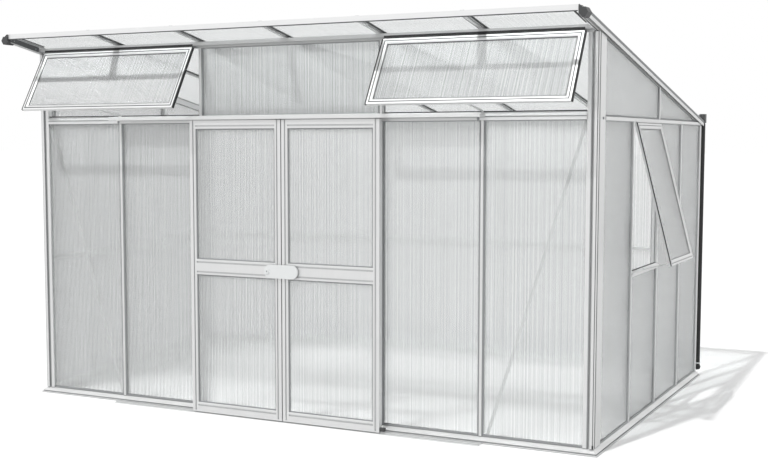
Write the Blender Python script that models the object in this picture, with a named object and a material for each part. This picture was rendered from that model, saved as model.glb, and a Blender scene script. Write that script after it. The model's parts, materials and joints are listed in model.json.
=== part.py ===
"""Pent-roof greenhouse in aluminium profile and twin-wall sheet.

The origin is on the ground under the middle of the front wall's outer face.
+X runs to the right along the front, +Y to the rear, +Z up.
"""
import math

import bmesh
import bpy
from mathutils import Matrix, Vector

# Walls
HALF_W = 1.900            # outer face of each gable wall from the middle
DEPTH = 2.580             # front wall's outer face to rear wall's outer face
BAY = 0.622               # glazing bar spacing on the front, rear and roof
GABLE_FIRST = 0.7254      # front face to the first gable bar
GABLE_BAY = 0.6185        # spacing of the gable bars
CORNER_FLANGE = 0.063     # front corner post's flange along the front
CORNER_CORE = 0.036       # front corner post's solid core
CORNER_DEEP = 0.125       # front corner post's flange along the gable
POST_GROOVE = 0.066       # end of the front corner post's gable sheet groove
REAR_POST = 0.040         # rear corner post's flanges
REAR_GROOVE = 0.024       # end of the rear corner post's sheet grooves
EAVE_Z = 1.808            # underside of the front wall's transom
EAVE_H = 0.044            # height of the transom
EAVE_DEEP = 0.045         # depth of the transom and of the eave rails
RAIL_Z = EAVE_Z - 0.003   # underside of the gable and rear walls' eave rails
RAIL_H = 0.023            # height of those rails
MID_RAIL_Z = 0.900        # underside of the rear and left walls' middle rails
GAP = 0.0003              # running gap between touching pieces

# Sheets
SHEET = 0.006             # thickness of the twin-wall sheet
SLOT_FRONT = 0.0110       # depth of the sheet groove's front face
SLOT_BACK = SLOT_FRONT + SHEET + 2 * GAP
LIP_BACK = SLOT_BACK + 0.004    # rear face of the wall behind a sheet groove
SPINE = 0.008             # half width of a glazing bar's raised spine
BAR_HALF = 0.014          # half width of a glazing bar behind the spine
BAR_BACK = 0.044          # depth of a glazing bar

# Base
BASE_LIP = 0.025          # base rail's reach outside the wall faces
BASE_TOP = 0.048          # height of the base rail
BASE_SILL = 0.036         # height of its sill, where the sheets stand in it
BASE_GROOVE = 0.022       # floor of its sheet groove
BASE_FOOT = 0.004         # thickness of its foot
BASE_DEEP = 0.060         # base rail's reach inside the wall faces
BRACE_Y = 0.030           # face of the diagonal braces behind the front wall's face

# Roof
ROOF_PITCH = math.radians(10.35)
OVERHANG = 0.315          # roof's reach in front of the front wall
CAP_RISE = 0.008          # height of a rafter's cap over the sheet
RAFTER_DROP = 0.012       # depth of a rafter below the sheet
RAKE_DROP = 0.040         # depth of a rake bar below the sheet's underside
RAKE_IN = 0.0236          # rake bar's reach in from the gable's face
HEAD_DROP = 0.043         # underside of the front wall's top rail below the sheet's
EDGE_DEEP = 0.020         # depth of the front edge profile
CAP_IN = 0.0203           # end of the edge profile, in from the gable's face
CAP_DEEP = 0.073          # depth of the moulded end caps
CAP_LONG = 0.038          # length of a gutter's end cap
CAP_TALL = 0.0635         # height of a gutter's end cap
GUTTER_OUT = 0.092        # gutter's reach behind the rear wall's face
GUTTER_LOW = RAIL_Z + 0.017
GUTTER_TALL = 0.058       # height of the gutter's outer wall
PIPE_R = 0.018
PIPE_WALL = 0.0025
PIPE_SIDES = 12
PIPE_FOOT = 0.060         # downpipe's lower end

# Sheet edges
SHEET_PLAY = 0.0015       # play between a sheet's edge and the groove's end
SHEET_FOOT = BASE_GROOVE + SHEET_PLAY
HEAD_IN = 0.010           # sheet's reach into the groove over it
TRANSOM_GROOVE = 0.026    # floor of the transom's upper groove, above its underside
TRANSOM_SILL = 0.038      # the transom's sill, above its underside
RAIL_GROOVE = 0.0145      # floor of an eave rail's upper groove, above its underside
BAR_WEB = 0.003           # half thickness of a bar's web
HOOD = 0.028              # top rail's reach outside the front wall
RAKE_GROOVE = 0.010       # depth of the rake bar's sheet groove

# Double sliding door
LEAF_LAP = 0.026          # leaf's reach past a whole bay
LEAF_BACK = -0.048        # wall-side face of the door leaves
LEAF_THICK = 0.030
LEAF_BOTTOM = 0.008
SKIRT_TOP = 0.016         # top of the slot that straddles the ground track's rib
SKIRT = 0.007             # thickness of the skirts either side of that slot
LEAF_TOP = EAVE_Z + 0.013
STILE = 0.042             # width of a door stile
MID_LOW = 0.872           # middle rail, lower and upper edge
MID_HIGH = 0.967
KICK_TOP = 0.068
LEAF_RAIL_TOP = 0.051     # height of the top rail
LEAF_SLOT = 0.012         # front face of the leaf's sheet groove
MEETING_GAP = 0.006       # gap between the closed leaves
TRACK_LAP = 0.021         # tracks' reach past the outer bars' middle
TRACK_OUT = 0.086
TRACK_RIB = 0.010         # height of the rib that the runners stand on
LATCH_X = -0.089          # latch pivot
LATCH_Z = 0.917
LATCH_LONG = 0.231
LATCH_TALL = 0.082
LATCH_SET = 0.018         # pivot to the middle of the latch bar's rounded end
LATCH_CLEAR = 0.006       # latch bar in front of the leaves
HEADER_LOW = LEAF_TOP + 0.005
HEADER_HIGH = EAVE_Z + 0.042

# Vents
VENT_IN = 0.033           # vent's inner end past the clerestory post's middle
VENT_OUT = 0.073          # vent's outer end in from the gable's face
VENT_LONG = 0.445         # length from hinge to lower edge
VENT_DROP = 0.013         # vent frame's top below its hinge line
VENT_OPEN = math.radians(31)
SASH_OPEN = math.radians(14.5)
SASH_LONG = 0.857
SASH_DROP = 0.006         # side vent frame's top below its hinge line
SASH_BAR = 0.032          # width of a vent frame's bar
SASH_THICK = 0.020
SASH_SLOT = 0.0075        # front face of a vent frame's sheet groove
BEAD = 0.004              # radius of a hinge bead
HOOD_LOW = 0.0135         # underside of the top rail's hood, above the rail's underside
SILL_Z = 0.900            # underside of the gable vent's sill bar
SILL_H = 0.030            # height of that sill bar
STAY_WIDE = 0.006         # width of the stays
STAY_OFF = -0.045         # side stay, off the side vent's middle towards the front

# Places that follow from these sizes
SLOPE = math.tan(ROOF_PITCH)
RAIL_TOP = RAIL_Z + RAIL_H
ROOF_Z = RAIL_TOP + GAP + RAFTER_DROP / math.cos(ROOF_PITCH) + SLOPE * (DEPTH - 0.006)
HEAD_Z = ROOF_Z - HEAD_DROP
EDGE_X = HALF_W - CAP_IN
GUTTER_X = HALF_W - RAKE_IN - GAP
EDGE_Y = -OVERHANG
GUTTER_Y = DEPTH + 0.020
LEAF_W = BAY + LEAF_LAP
TRACK_HALF = 2 * BAY + TRACK_LAP
VENT_X0 = BAY + VENT_IN
VENT_X1 = HALF_W - VENT_OUT

X = Vector((1, 0, 0))
Y = Vector((0, 1, 0))
Z = Vector((0, 0, 1))
DOWN_SLOPE = Vector((0, math.cos(ROOF_PITCH), -math.sin(ROOF_PITCH)))
ROOF_UP = Vector((0, math.sin(ROOF_PITCH), math.cos(ROOF_PITCH)))


def clear_scene():
    """Remove the scene's objects."""
    for obj in list(bpy.data.objects):
        bpy.data.objects.remove(obj, do_unlink=True)


def make_material(name, colour, roughness, metallic=0.0, alpha=1.0):
    """Make a Principled material."""
    mat = bpy.data.materials.new(name)
    mat.use_nodes = True
    shader = mat.node_tree.nodes["Principled BSDF"]
    shader.inputs["Base Color"].default_value = (*colour, 1.0)
    shader.inputs["Roughness"].default_value = roughness
    shader.inputs["Metallic"].default_value = metallic
    shader.inputs["Alpha"].default_value = alpha
    return mat


def finish_mesh(name, bm, material):
    """Turn a bmesh into a named object at the origin."""
    bmesh.ops.recalc_face_normals(bm, faces=bm.faces)
    mesh = bpy.data.meshes.new(name)
    bm.to_mesh(mesh)
    bm.free()
    mesh.materials.append(material)
    obj = bpy.data.objects.new(name, mesh)
    bpy.context.collection.objects.link(obj)
    return obj


def cut_end(bm, point, normal):
    """Cut off what lies on the normal's side of a plane and close the cut."""
    bmesh.ops.bisect_plane(
        bm,
        geom=bm.verts[:] + bm.edges[:] + bm.faces[:],
        dist=1e-6,
        plane_co=point,
        plane_no=normal,
        clear_outer=True,
    )
    open_edges = [edge for edge in bm.edges if edge.is_boundary]
    bmesh.ops.holes_fill(bm, edges=open_edges, sides=0)


def profile(name, outline, start, run, across, depth, material, cuts=()):
    """Extrude a closed outline of (across, depth) points from start by run.

    Each cut is a plane as (point, normal), and takes off the normal's side.
    """
    bm = bmesh.new()
    ring = [bm.verts.new(start + across * a + depth * d) for a, d in outline]
    face = bm.faces.new(ring)
    grown = bmesh.ops.extrude_face_region(bm, geom=[face])
    moved = [item for item in grown["geom"] if isinstance(item, bmesh.types.BMVert)]
    bmesh.ops.translate(bm, verts=moved, vec=run)
    for point, normal in cuts:
        cut_end(bm, point, normal)
    return finish_mesh(name, bm, material)


def box(name, low, high, material):
    """Make a box between two corners."""
    low = Vector(low)
    high = Vector(high)
    outline = [(0, 0), (high.x - low.x, 0), (high.x - low.x, high.y - low.y), (0, high.y - low.y)]
    return profile(name, outline, low, Z * (high.z - low.z), X, Y, material)


def fuse(name, pieces):
    """Join overlapping pieces into one closed body with Boolean unions."""
    body = pieces[0]
    body.name = name
    body.data.name = name
    for piece in pieces[1:]:
        union = body.modifiers.new("join_" + piece.name, "BOOLEAN")
        union.operation = "UNION"
        union.solver = "EXACT"
        union.object = piece
    bpy.context.view_layer.update()
    graph = bpy.context.evaluated_depsgraph_get()
    joined = bpy.data.meshes.new_from_object(body.evaluated_get(graph))
    body.modifiers.clear()
    body.data = joined
    joined.name = name
    for piece in pieces[1:]:
        bpy.data.objects.remove(piece, do_unlink=True)
    return body


def mirrored(half):
    """Close a half outline, given from its first to its last point, across a = 0."""
    return half + [(-a, d) for a, d in reversed(half)]


def cap_half():
    """Half of a glazing bar's outer cap: a raised spine with a step for the rubber seal beside it."""
    return [
        (SPINE - 0.002, 0.000),
        (SPINE, 0.002),
        (SPINE, 0.0075),
        (BAR_HALF, 0.0075),
        (BAR_HALF, SLOT_FRONT),
    ]


def stem_half():
    """Half of a glazing bar behind the sheet: ledge, stem and foot."""
    return [
        (BAR_HALF, SLOT_BACK),
        (BAR_HALF, SLOT_BACK + 0.003),
        (0.004, SLOT_BACK + 0.003),
        (0.004, 0.040),
        (0.010, 0.040),
        (0.010, BAR_BACK),
    ]


def bar_outline():
    """Whole glazing bar, with a sheet groove each side of its web."""
    return mirrored(cap_half() + [(BAR_WEB, SLOT_FRONT), (BAR_WEB, SLOT_BACK)] + stem_half())


def split_bar_outlines():
    """Cap and stem of a bar that holds one long sheet between them."""
    return mirrored(cap_half()), mirrored(stem_half())


def base_outline():
    """Base rail: sloped sill outside, sheet groove on top, foot inside."""
    return [
        (-BASE_LIP, 0.000),
        (BASE_DEEP, 0.000),
        (BASE_DEEP, BASE_FOOT),
        (LIP_BACK, BASE_FOOT),
        (LIP_BACK, BASE_TOP),
        (SLOT_BACK, BASE_TOP),
        (SLOT_BACK, BASE_GROOVE),
        (SLOT_FRONT, BASE_GROOVE),
        (SLOT_FRONT, BASE_SILL),
        (0.007, BASE_SILL),
        (-0.020, 0.017),
        (-0.020, 0.0145),
        (-0.015, 0.0135),
        (-0.015, 0.0095),
        (-BASE_LIP, 0.0085),
    ]


def transom_outline():
    """Transom: two-step face, sill slope on top, grooves above and below."""
    return [
        (-0.008, 0.000),
        (SLOT_FRONT, 0.000),
        (SLOT_FRONT, 0.012),
        (SLOT_BACK, 0.012),
        (SLOT_BACK, 0.000),
        (EAVE_DEEP, 0.000),
        (EAVE_DEEP, 0.004),
        (LIP_BACK, 0.004),
        (LIP_BACK, EAVE_H),
        (SLOT_BACK, EAVE_H),
        (SLOT_BACK, TRANSOM_GROOVE),
        (SLOT_FRONT, TRANSOM_GROOVE),
        (SLOT_FRONT, TRANSOM_SILL),
        (0.006, TRANSOM_SILL),
        (-0.012, 0.0245),
        (-0.012, 0.0225),
        (-0.001, 0.0225),
        (-0.001, 0.0175),
        (-0.008, 0.0165),
    ]


def rail_outline():
    """Eave rail of the gable and rear walls, with a groove above and below."""
    return [
        (-0.004, 0.000),
        (SLOT_FRONT, 0.000),
        (SLOT_FRONT, 0.012),
        (SLOT_BACK, 0.012),
        (SLOT_BACK, 0.000),
        (EAVE_DEEP, 0.000),
        (EAVE_DEEP, 0.004),
        (LIP_BACK, 0.004),
        (LIP_BACK, RAIL_H),
        (SLOT_BACK, RAIL_H),
        (SLOT_BACK, RAIL_GROOVE),
        (SLOT_FRONT, RAIL_GROOVE),
        (SLOT_FRONT, RAIL_H),
        (0.006, RAIL_H),
        (-0.004, 0.018),
    ]


def wall(side):
    """Give a wall's origin at its left end, its run, and its inward direction.

    The run goes to the right as seen from outside.
    """
    if side == "front":
        return Vector((-HALF_W, 0, 0)), X, Y, 2 * HALF_W
    if side == "rear":
        return Vector((HALF_W, DEPTH, 0)), -X, -Y, 2 * HALF_W
    if side == "right":
        return Vector((HALF_W, 0, 0)), Y, -X, DEPTH
    return Vector((-HALF_W, DEPTH, 0)), -Y, X, DEPTH


def base_rail(side, metal):
    """Base rail along one wall, mitred at both corners."""
    corner, run, inward, length = wall(side)
    start = corner - run * BASE_LIP
    cuts = [
        (corner - inward * BASE_LIP - run * (BASE_LIP - GAP), -run + inward),
        (corner - inward * BASE_LIP + run * (length + BASE_LIP - GAP), run + inward),
    ]
    return profile(
        "base_" + side, base_outline(), start, run * (length + 2 * BASE_LIP), inward, Z, metal, cuts
    )


def corner_outline():
    """Front corner post in plan, as (in from the gable face, in from the front face).

    Gives the whole post and its outer skin, which runs on down to the sill.
    """
    outer = [
        (CORNER_FLANGE, 0.000),
        (0.034, 0.000),
        (0.034, 0.010),
        (0.024, 0.010),
        (0.024, -0.003),
        (0.0215, -0.0055),
        (0.0105, -0.0055),
        (0.008, -0.003),
        (0.008, 0.006),
        (0.0045, 0.006),
        (0.0045, 0.000),
        (0.000, 0.000),
        (0.000, 0.010),
        (0.008, 0.013),
        (0.008, 0.024),
        (0.000, 0.028),
        (0.000, CORNER_DEEP),
        (SLOT_FRONT, CORNER_DEEP),
    ]
    inner = [
        (SLOT_FRONT, POST_GROOVE),
        (SLOT_BACK, POST_GROOVE),
        (SLOT_BACK, 0.080),
        (LIP_BACK, 0.080),
        (LIP_BACK, 0.060),
        (CORNER_CORE, 0.060),
        (CORNER_CORE, LIP_BACK),
        (0.050, LIP_BACK),
        (0.050, SLOT_BACK),
        (CORNER_CORE, SLOT_BACK),
        (CORNER_CORE, SLOT_FRONT),
        (CORNER_FLANGE, SLOT_FRONT),
    ]
    return outer + inner, outer + [(SLOT_FRONT, SLOT_FRONT), (CORNER_FLANGE, SLOT_FRONT)]


def rear_corner_outline():
    """Rear corner post in plan, as (in from the gable face, in from the rear face), and its skin."""
    outer = [
        (REAR_POST, 0.000),
        (0.003, 0.000),
        (0.000, 0.003),
        (0.000, REAR_POST),
        (SLOT_FRONT, REAR_POST),
    ]
    inner = [
        (SLOT_FRONT, REAR_GROOVE),
        (SLOT_BACK, REAR_GROOVE),
        (SLOT_BACK, 0.036),
        (REAR_GROOVE, 0.036),
        (0.036, REAR_GROOVE),
        (0.036, SLOT_BACK),
        (REAR_GROOVE, SLOT_BACK),
        (REAR_GROOVE, SLOT_FRONT),
        (REAR_POST, SLOT_FRONT),
    ]
    return outer + inner, outer + [(SLOT_FRONT, SLOT_FRONT), (REAR_POST, SLOT_FRONT)]


def roof_z(y, above=0.0):
    """Height at y of the plane that lies this far above the roof sheet's underside, square to it."""
    return ROOF_Z - SLOPE * y + above / math.cos(ROOF_PITCH)


def standing(name, outline, at, low, high, across, depth, metal, cuts=()):
    """Upright profile between two heights."""
    start = Vector((at[0], at[1], low))
    return profile(name, outline, start, Z * (high - low), across, depth, metal, cuts)


def below_rake():
    """Cutting plane that ends uprights just under the rake bars."""
    return Vector((0, 0, roof_z(0, -RAKE_DROP - GAP))), ROOF_UP


def in_rake():
    """Cutting plane that ends the gable sheets inside the rake bars' groove."""
    return Vector((0, 0, roof_z(0, -RAKE_DROP + RAKE_GROOVE))), ROOF_UP


def make_corner_posts(metal):
    """Four corner posts, cut to the roof's slope, with their outer skin run down to the sill."""
    foot = BASE_TOP + GAP
    under_head = (Vector((0, 0, HEAD_Z - GAP)), Z)
    for sign, side in ((1, "right"), (-1, "left")):
        for end, place, inward, outlines, cuts in (
            ("front_", 0, Y, corner_outline(), [below_rake(), under_head]),
            ("rear_", DEPTH, -Y, rear_corner_outline(), [below_rake()]),
        ):
            whole, skin = outlines
            name = "corner_post_" + end + side
            at = (sign * HALF_W, place)
            post = standing(name, whole, at, foot, ROOF_Z, X * -sign, inward, metal, cuts)
            apron = standing("apron", skin, at, BASE_SILL + GAP, foot + 0.002, X * -sign, inward, metal)
            fuse(name, [post, apron])


def long_bar(name, x, low, sill, high, metal):
    """Whole glazing bar of the front wall, its cap run down over the sill."""
    bar = standing(name, bar_outline(), (x, 0), low + GAP, high - GAP, X, Y, metal)
    cap = standing("cap", mirrored(cap_half()), (x, 0), sill + GAP, low + 0.002, X, Y, metal)
    return fuse(name, [bar, cap])


def make_front(metal, sheet):
    """Front wall beside and above the doorway."""
    for index, name in ((-2, "front_bar_left"), (-1, "door_jamb_left"),
                        (1, "door_jamb_right"), (2, "front_bar_right")):
        long_bar(name, index * BAY, BASE_TOP, BASE_SILL, EAVE_Z, metal)
    for index, side in ((-1, "left"), (1, "right")):
        long_bar(
            "clerestory_post_" + side, index * BAY, EAVE_Z + EAVE_H, EAVE_Z + TRANSOM_SILL, HEAD_Z, metal,
        )
    half = HALF_W - CORNER_FLANGE - GAP
    profile("transom_front", transom_outline(), Vector((-half, 0, EAVE_Z)), X * (2 * half), Y, Z, metal)
    make_top_rail(metal)
    post_edge = HALF_W - CORNER_CORE - SHEET_PLAY
    bar_edge = BAR_WEB + SHEET_PLAY
    spans = ((2 * BAY + bar_edge, post_edge, 1), (BAY + bar_edge, 2 * BAY - bar_edge, 2))
    for low, high, number in spans:
        for sign, side in ((-1, "left"), (1, "right")):
            ends = sorted((sign * low, sign * high))
            name = "front_sheet_%s_%d" % (side, number)
            wall_sheet(name, "front", ends, SHEET_FOOT, EAVE_Z + HEAD_IN, sheet)
    wall_sheet(
        "clerestory_sheet", "front", (-BAY + bar_edge, BAY - bar_edge),
        EAVE_Z + TRANSOM_GROOVE + SHEET_PLAY, HEAD_Z + HEAD_IN, sheet,
    )


def wall_sheet(name, side, ends, low, high, sheet, cuts=()):
    """Upright sheet in a wall's groove, between two places along X or Y."""
    front = SLOT_FRONT + GAP
    back = front + SHEET
    if side == "front":
        corners = ((ends[0], front), (ends[1], back))
    elif side == "rear":
        corners = ((ends[0], DEPTH - back), (ends[1], DEPTH - front))
    elif side == "right":
        corners = ((HALF_W - back, ends[0]), (HALF_W - front, ends[1]))
    else:
        corners = ((-HALF_W + front, ends[0]), (-HALF_W + back, ends[1]))
    (x0, y0), (x1, y1) = corners
    outline = [(0, 0), (x1 - x0, 0), (x1 - x0, y1 - y0), (0, y1 - y0)]
    start = Vector((x0, y0, low))
    return profile(name, outline, start, Z * (high - low), X, Y, sheet, cuts)


def make_top_rail(metal):
    """Top rail of the front wall, with the hood that the vents hang under."""
    half = HALF_W - 0.030

    def under_roof(y):
        return roof_z(y, -RAFTER_DROP - GAP) - HEAD_Z

    outline = [
        (-HOOD, HOOD_LOW),
        (-0.004, HOOD_LOW),
        (-0.004, 0.000),
        (SLOT_FRONT, 0.000),
        (SLOT_FRONT, 0.014),
        (SLOT_BACK, 0.014),
        (SLOT_BACK, 0.000),
        (EAVE_DEEP, 0.000),
        (EAVE_DEEP, 0.004),
        (LIP_BACK, 0.004),
        (LIP_BACK, under_roof(LIP_BACK)),
        (-HOOD, under_roof(-HOOD)),
    ]
    profile("top_rail_front", outline, Vector((-half, 0, HEAD_Z)), X * (2 * half), Y, Z, metal)


def gable_lines():
    """Places of the three gable bars along Y."""
    return [GABLE_FIRST + GABLE_BAY * index for index in range(3)]


def make_gable(side, metal, sheet):
    """One gable wall: bars, eave rail and the upright above it in one frame."""
    face = HALF_W if side == "right" else -HALF_W
    inward = -X if side == "right" else X
    foot = BASE_TOP + GAP
    low_y = CORNER_DEEP + GAP
    rake_foot = ROOF_Z - (RAKE_DROP + GAP) / math.cos(ROOF_PITCH)
    high_y = min(DEPTH - EAVE_DEEP - GAP, (rake_foot - RAIL_Z - 0.006) / SLOPE)
    lines = gable_lines()
    open_side = side == "right"
    rail = profile(
        "rail", rail_outline(), Vector((face, low_y, RAIL_Z)), Y * (high_y - low_y), inward, Z, metal,
        [below_rake()],
    )
    pieces = [rail]
    cap, stem = split_bar_outlines()
    for index, line in enumerate(lines):
        at = (face, line)
        whole = open_side and index < 2
        inner = bar_outline() if whole else stem
        pieces.append(standing("stem", inner, at, foot, RAIL_Z + 0.003, Y, inward, metal))
        cap_top = foot + 0.002 if whole else RAIL_Z + 0.003
        pieces.append(standing("cap", cap, at, BASE_SILL + GAP, cap_top, Y, inward, metal))
    for outline in (cap, stem):
        pieces.append(standing(
            "upright", outline, (face, lines[1]), RAIL_TOP - 0.003, ROOF_Z, Y, inward, metal, [below_rake()],
        ))
    if open_side:
        span = lines[1] - lines[0] - 2 * BAR_WEB
        start = Vector((face, lines[0] + BAR_WEB, SILL_Z))
        pieces.append(profile("sill", gable_sill_outline(), start, Y * span, inward, Z, metal))
    else:
        start = Vector((face, low_y, MID_RAIL_Z))
        pieces.append(profile("middle", middle_outline(), start, Y * (high_y - low_y), inward, Z, metal))
    fuse("gable_frame_" + side, pieces)
    gable_sheets(side, lines, sheet)


def gable_sill_outline():
    """Sill under the side vent's opening, over the sheet below it."""
    return [
        (-0.004, 0.000),
        (SLOT_FRONT, 0.000),
        (SLOT_FRONT, 0.012),
        (SLOT_BACK, 0.012),
        (SLOT_BACK, 0.000),
        (LIP_BACK, 0.000),
        (LIP_BACK, SILL_H),
        (0.008, SILL_H),
        (-0.012, 0.020),
        (-0.012, 0.015),
        (-0.004, 0.012),
    ]


def middle_outline():
    """Flat middle rail inside the sheet of a rear or left wall."""
    return [(SLOT_BACK, 0.000), (0.040, 0.000), (0.040, 0.020), (SLOT_BACK, 0.020)]


def gable_sheets(side, lines, sheet):
    """Sheets of one gable wall."""
    bar_edge = BAR_WEB + SHEET_PLAY
    first = POST_GROOVE + SHEET_PLAY
    last = DEPTH - REAR_GROOVE - SHEET_PLAY
    head = RAIL_Z + HEAD_IN
    ends = [in_rake()]
    if side == "right":
        wall_sheet("gable_sheet_right_1", side, (first, lines[0] - bar_edge), SHEET_FOOT, head, sheet)
        middle = (lines[0] + bar_edge, lines[1] - bar_edge)
        wall_sheet("gable_sheet_right_2", side, middle, SHEET_FOOT, SILL_Z + HEAD_IN, sheet)
        wall_sheet("gable_sheet_right_3", side, (lines[1] + bar_edge, last), SHEET_FOOT, head, sheet, ends)
    else:
        wall_sheet("gable_sheet_left", side, (first, last), SHEET_FOOT, head, sheet, ends)
    low = RAIL_Z + RAIL_GROOVE + SHEET_PLAY
    rake_groove = ROOF_Z - (RAKE_DROP - RAKE_GROOVE) / math.cos(ROOF_PITCH)
    high_y = (rake_groove - low - 0.012) / SLOPE
    wall_sheet("gable_top_sheet_" + side, side, (first, high_y), low, ROOF_Z, sheet, ends)


def make_rear(metal, sheet):
    """Rear wall: five bars, eave rail and middle rail in one frame, with one sheet."""
    foot = BASE_TOP + GAP
    half = HALF_W - REAR_POST - GAP
    pieces = []
    for outline, height in ((rail_outline(), RAIL_Z), (middle_outline(), MID_RAIL_Z)):
        pieces.append(profile("rail", outline, Vector((-half, DEPTH, height)), X * (2 * half), -Y, Z, metal))
    cap, stem = split_bar_outlines()
    for index in range(-2, 3):
        at = (index * BAY, DEPTH)
        pieces.append(standing("stem", stem, at, foot, RAIL_Z + 0.003, X, -Y, metal))
        pieces.append(standing("cap", cap, at, BASE_SILL + GAP, RAIL_Z + 0.003, X, -Y, metal))
    fuse("rear_frame", pieces)
    edge = HALF_W - REAR_GROOVE - SHEET_PLAY
    wall_sheet("rear_sheet", "rear", (-edge, edge), SHEET_FOOT, RAIL_Z + HEAD_IN, sheet)


def sloping(name, outline, x, low_y, high_y, metal, across=X):
    """Profile down the roof's slope, as (across, height over the sheet's underside), with plumb ends."""
    spare = 0.020
    start = Vector((x, low_y - spare, roof_z(low_y - spare)))
    run = DOWN_SLOPE * ((high_y - low_y + 2 * spare) / math.cos(ROOF_PITCH))
    ends = [(Vector((0, low_y, 0)), -Y), (Vector((0, high_y, 0)), Y)]
    return profile(name, outline, start, run, across, ROOF_UP, metal, ends)


def make_roof(metal, sheet):
    """Rafters and front edge in one frame, rake bars, and one sheet in their grooves."""
    top = SHEET + GAP
    edge_z = roof_z(EDGE_Y)
    edge = [
        (0.000, -0.020),
        (EDGE_DEEP, -0.020),
        (EDGE_DEEP, -0.004 - GAP),
        (0.006, -0.001 - GAP),
        (0.006, top),
        (EDGE_DEEP, top - 0.0025),
        (EDGE_DEEP, SHEET + 0.001),
        (0.000, SHEET + 0.003),
    ]
    pieces = [profile("edge", edge, Vector((-EDGE_X, EDGE_Y, edge_z)), X * (2 * EDGE_X), Y, Z, metal)]
    cap = mirrored([(0.020, top), (0.020, top + 0.002), (0.012, top + CAP_RISE)])
    foot = mirrored([(0.019, -GAP), (0.019, -0.003), (0.009, -0.003), (0.009, -RAFTER_DROP)])
    for index in range(-2, 3):
        for outline, back in ((cap, GUTTER_Y + 0.010), (foot, DEPTH + 0.008)):
            pieces.append(sloping("rafter", outline, index * BAY, EDGE_Y + 0.012, back, metal))
    fuse("roof_frame", pieces)
    make_rakes(top, metal)
    half = HALF_W - 0.004 - SHEET_PLAY
    slab = [(-half, 0.0), (half, 0.0), (half, SHEET), (-half, SHEET)]
    back = GUTTER_Y + 0.011
    start_y = EDGE_Y + 0.0075
    start = Vector((0, start_y, roof_z(start_y)))
    run = DOWN_SLOPE * ((back - start_y) / math.cos(ROOF_PITCH))
    profile("roof_sheet", slab, start, run, X, ROOF_UP, sheet)


def make_rakes(top, metal):
    """Rake bars: a channel open downward outside the gable, a sheet groove, and an inner wall.

    The inner wall runs on beside the end cap to just behind the edge profile.
    """
    rake = [
        (-0.009, -0.037),
        (-0.012, -0.037),
        (-0.012, -0.0085),
        (-0.003, -0.0065),
        (-0.003, top + 0.002),
        (RAKE_IN, top + 0.002),
        (RAKE_IN, top),
        (0.004, top),
        (0.004, -GAP),
        (RAKE_IN, -GAP),
        (RAKE_IN, -RAKE_DROP),
        (SLOT_BACK, -RAKE_DROP),
        (SLOT_BACK, -RAKE_DROP + RAKE_GROOVE + 0.002),
        (SLOT_FRONT, -RAKE_DROP + RAKE_GROOVE + 0.002),
        (SLOT_FRONT, -RAKE_DROP),
        (0.006, -RAKE_DROP),
        (0.006, -0.010),
        (-0.009, -0.010),
    ]
    tongue = [
        (RAKE_IN - 0.0003, -0.0006),
        (RAKE_IN - 0.0003, -RAKE_DROP + 0.0003),
        (RAKE_IN - 0.0027, -RAKE_DROP + 0.0003),
        (RAKE_IN - 0.0027, -0.0006),
    ]
    front = EDGE_Y - 0.010 + CAP_DEEP + GAP
    for sign, side in ((-1, "left"), (1, "right")):
        bar = sloping("rake_bar_" + side, rake, sign * HALF_W, front, GUTTER_Y - GAP, metal, X * -sign)
        inner = sloping(
            "tongue", tongue, sign * HALF_W, EDGE_Y + EDGE_DEEP + GAP, front + 0.010, metal, X * -sign,
        )
        fuse(bar.name, [bar, inner])


def make_edge_cap(side, sign, material):
    """Moulded cap at one end of the edge profile: a six-sided block with an ear in front of the roof."""
    start = Vector((sign * EDGE_X, EDGE_Y - 0.010, roof_z(EDGE_Y)))
    block = [
        (GAP, -0.034),
        (0.019, -0.057),
        (0.035, -0.055),
        (0.0505, -0.031),
        (0.035, -0.005),
        (0.019, -0.007),
        (0.015, -0.0125),
        (GAP, -0.016),
    ]
    ear = [(GAP, -0.030), (GAP, 0.006), (0.003, 0.009), (0.0255, -0.008), (0.0255, -0.020)]
    pieces = [
        profile("block", block, start, Y * CAP_DEEP, X * sign, Z, material),
        profile("ear", ear, start, Y * 0.0095, X * sign, Z, material),
    ]
    fuse("edge_cap_" + side, pieces)


def make_gutter_cap(side, sign, material):
    """Moulded cap over one end of the rear gutter, lower where the roof sheet passes over it."""
    low = GUTTER_LOW - 0.0015
    step = roof_z(GUTTER_Y + 0.0135, -0.001) - low
    outline = [
        (0.000, 0.005),
        (0.005, 0.000),
        (CAP_DEEP - 0.005, 0.000),
        (CAP_DEEP, 0.005),
        (CAP_DEEP, CAP_TALL - 0.003),
        (CAP_DEEP - 0.004, CAP_TALL),
        (0.017, CAP_TALL),
        (0.0135, CAP_TALL - 0.003),
        (0.0135, step),
        (0.000, step),
    ]
    start = Vector((sign * (GUTTER_X + GAP), GUTTER_Y, low))
    return profile("gutter_cap_" + side, outline, start, X * (sign * CAP_LONG), Y, Z, material)


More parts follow.
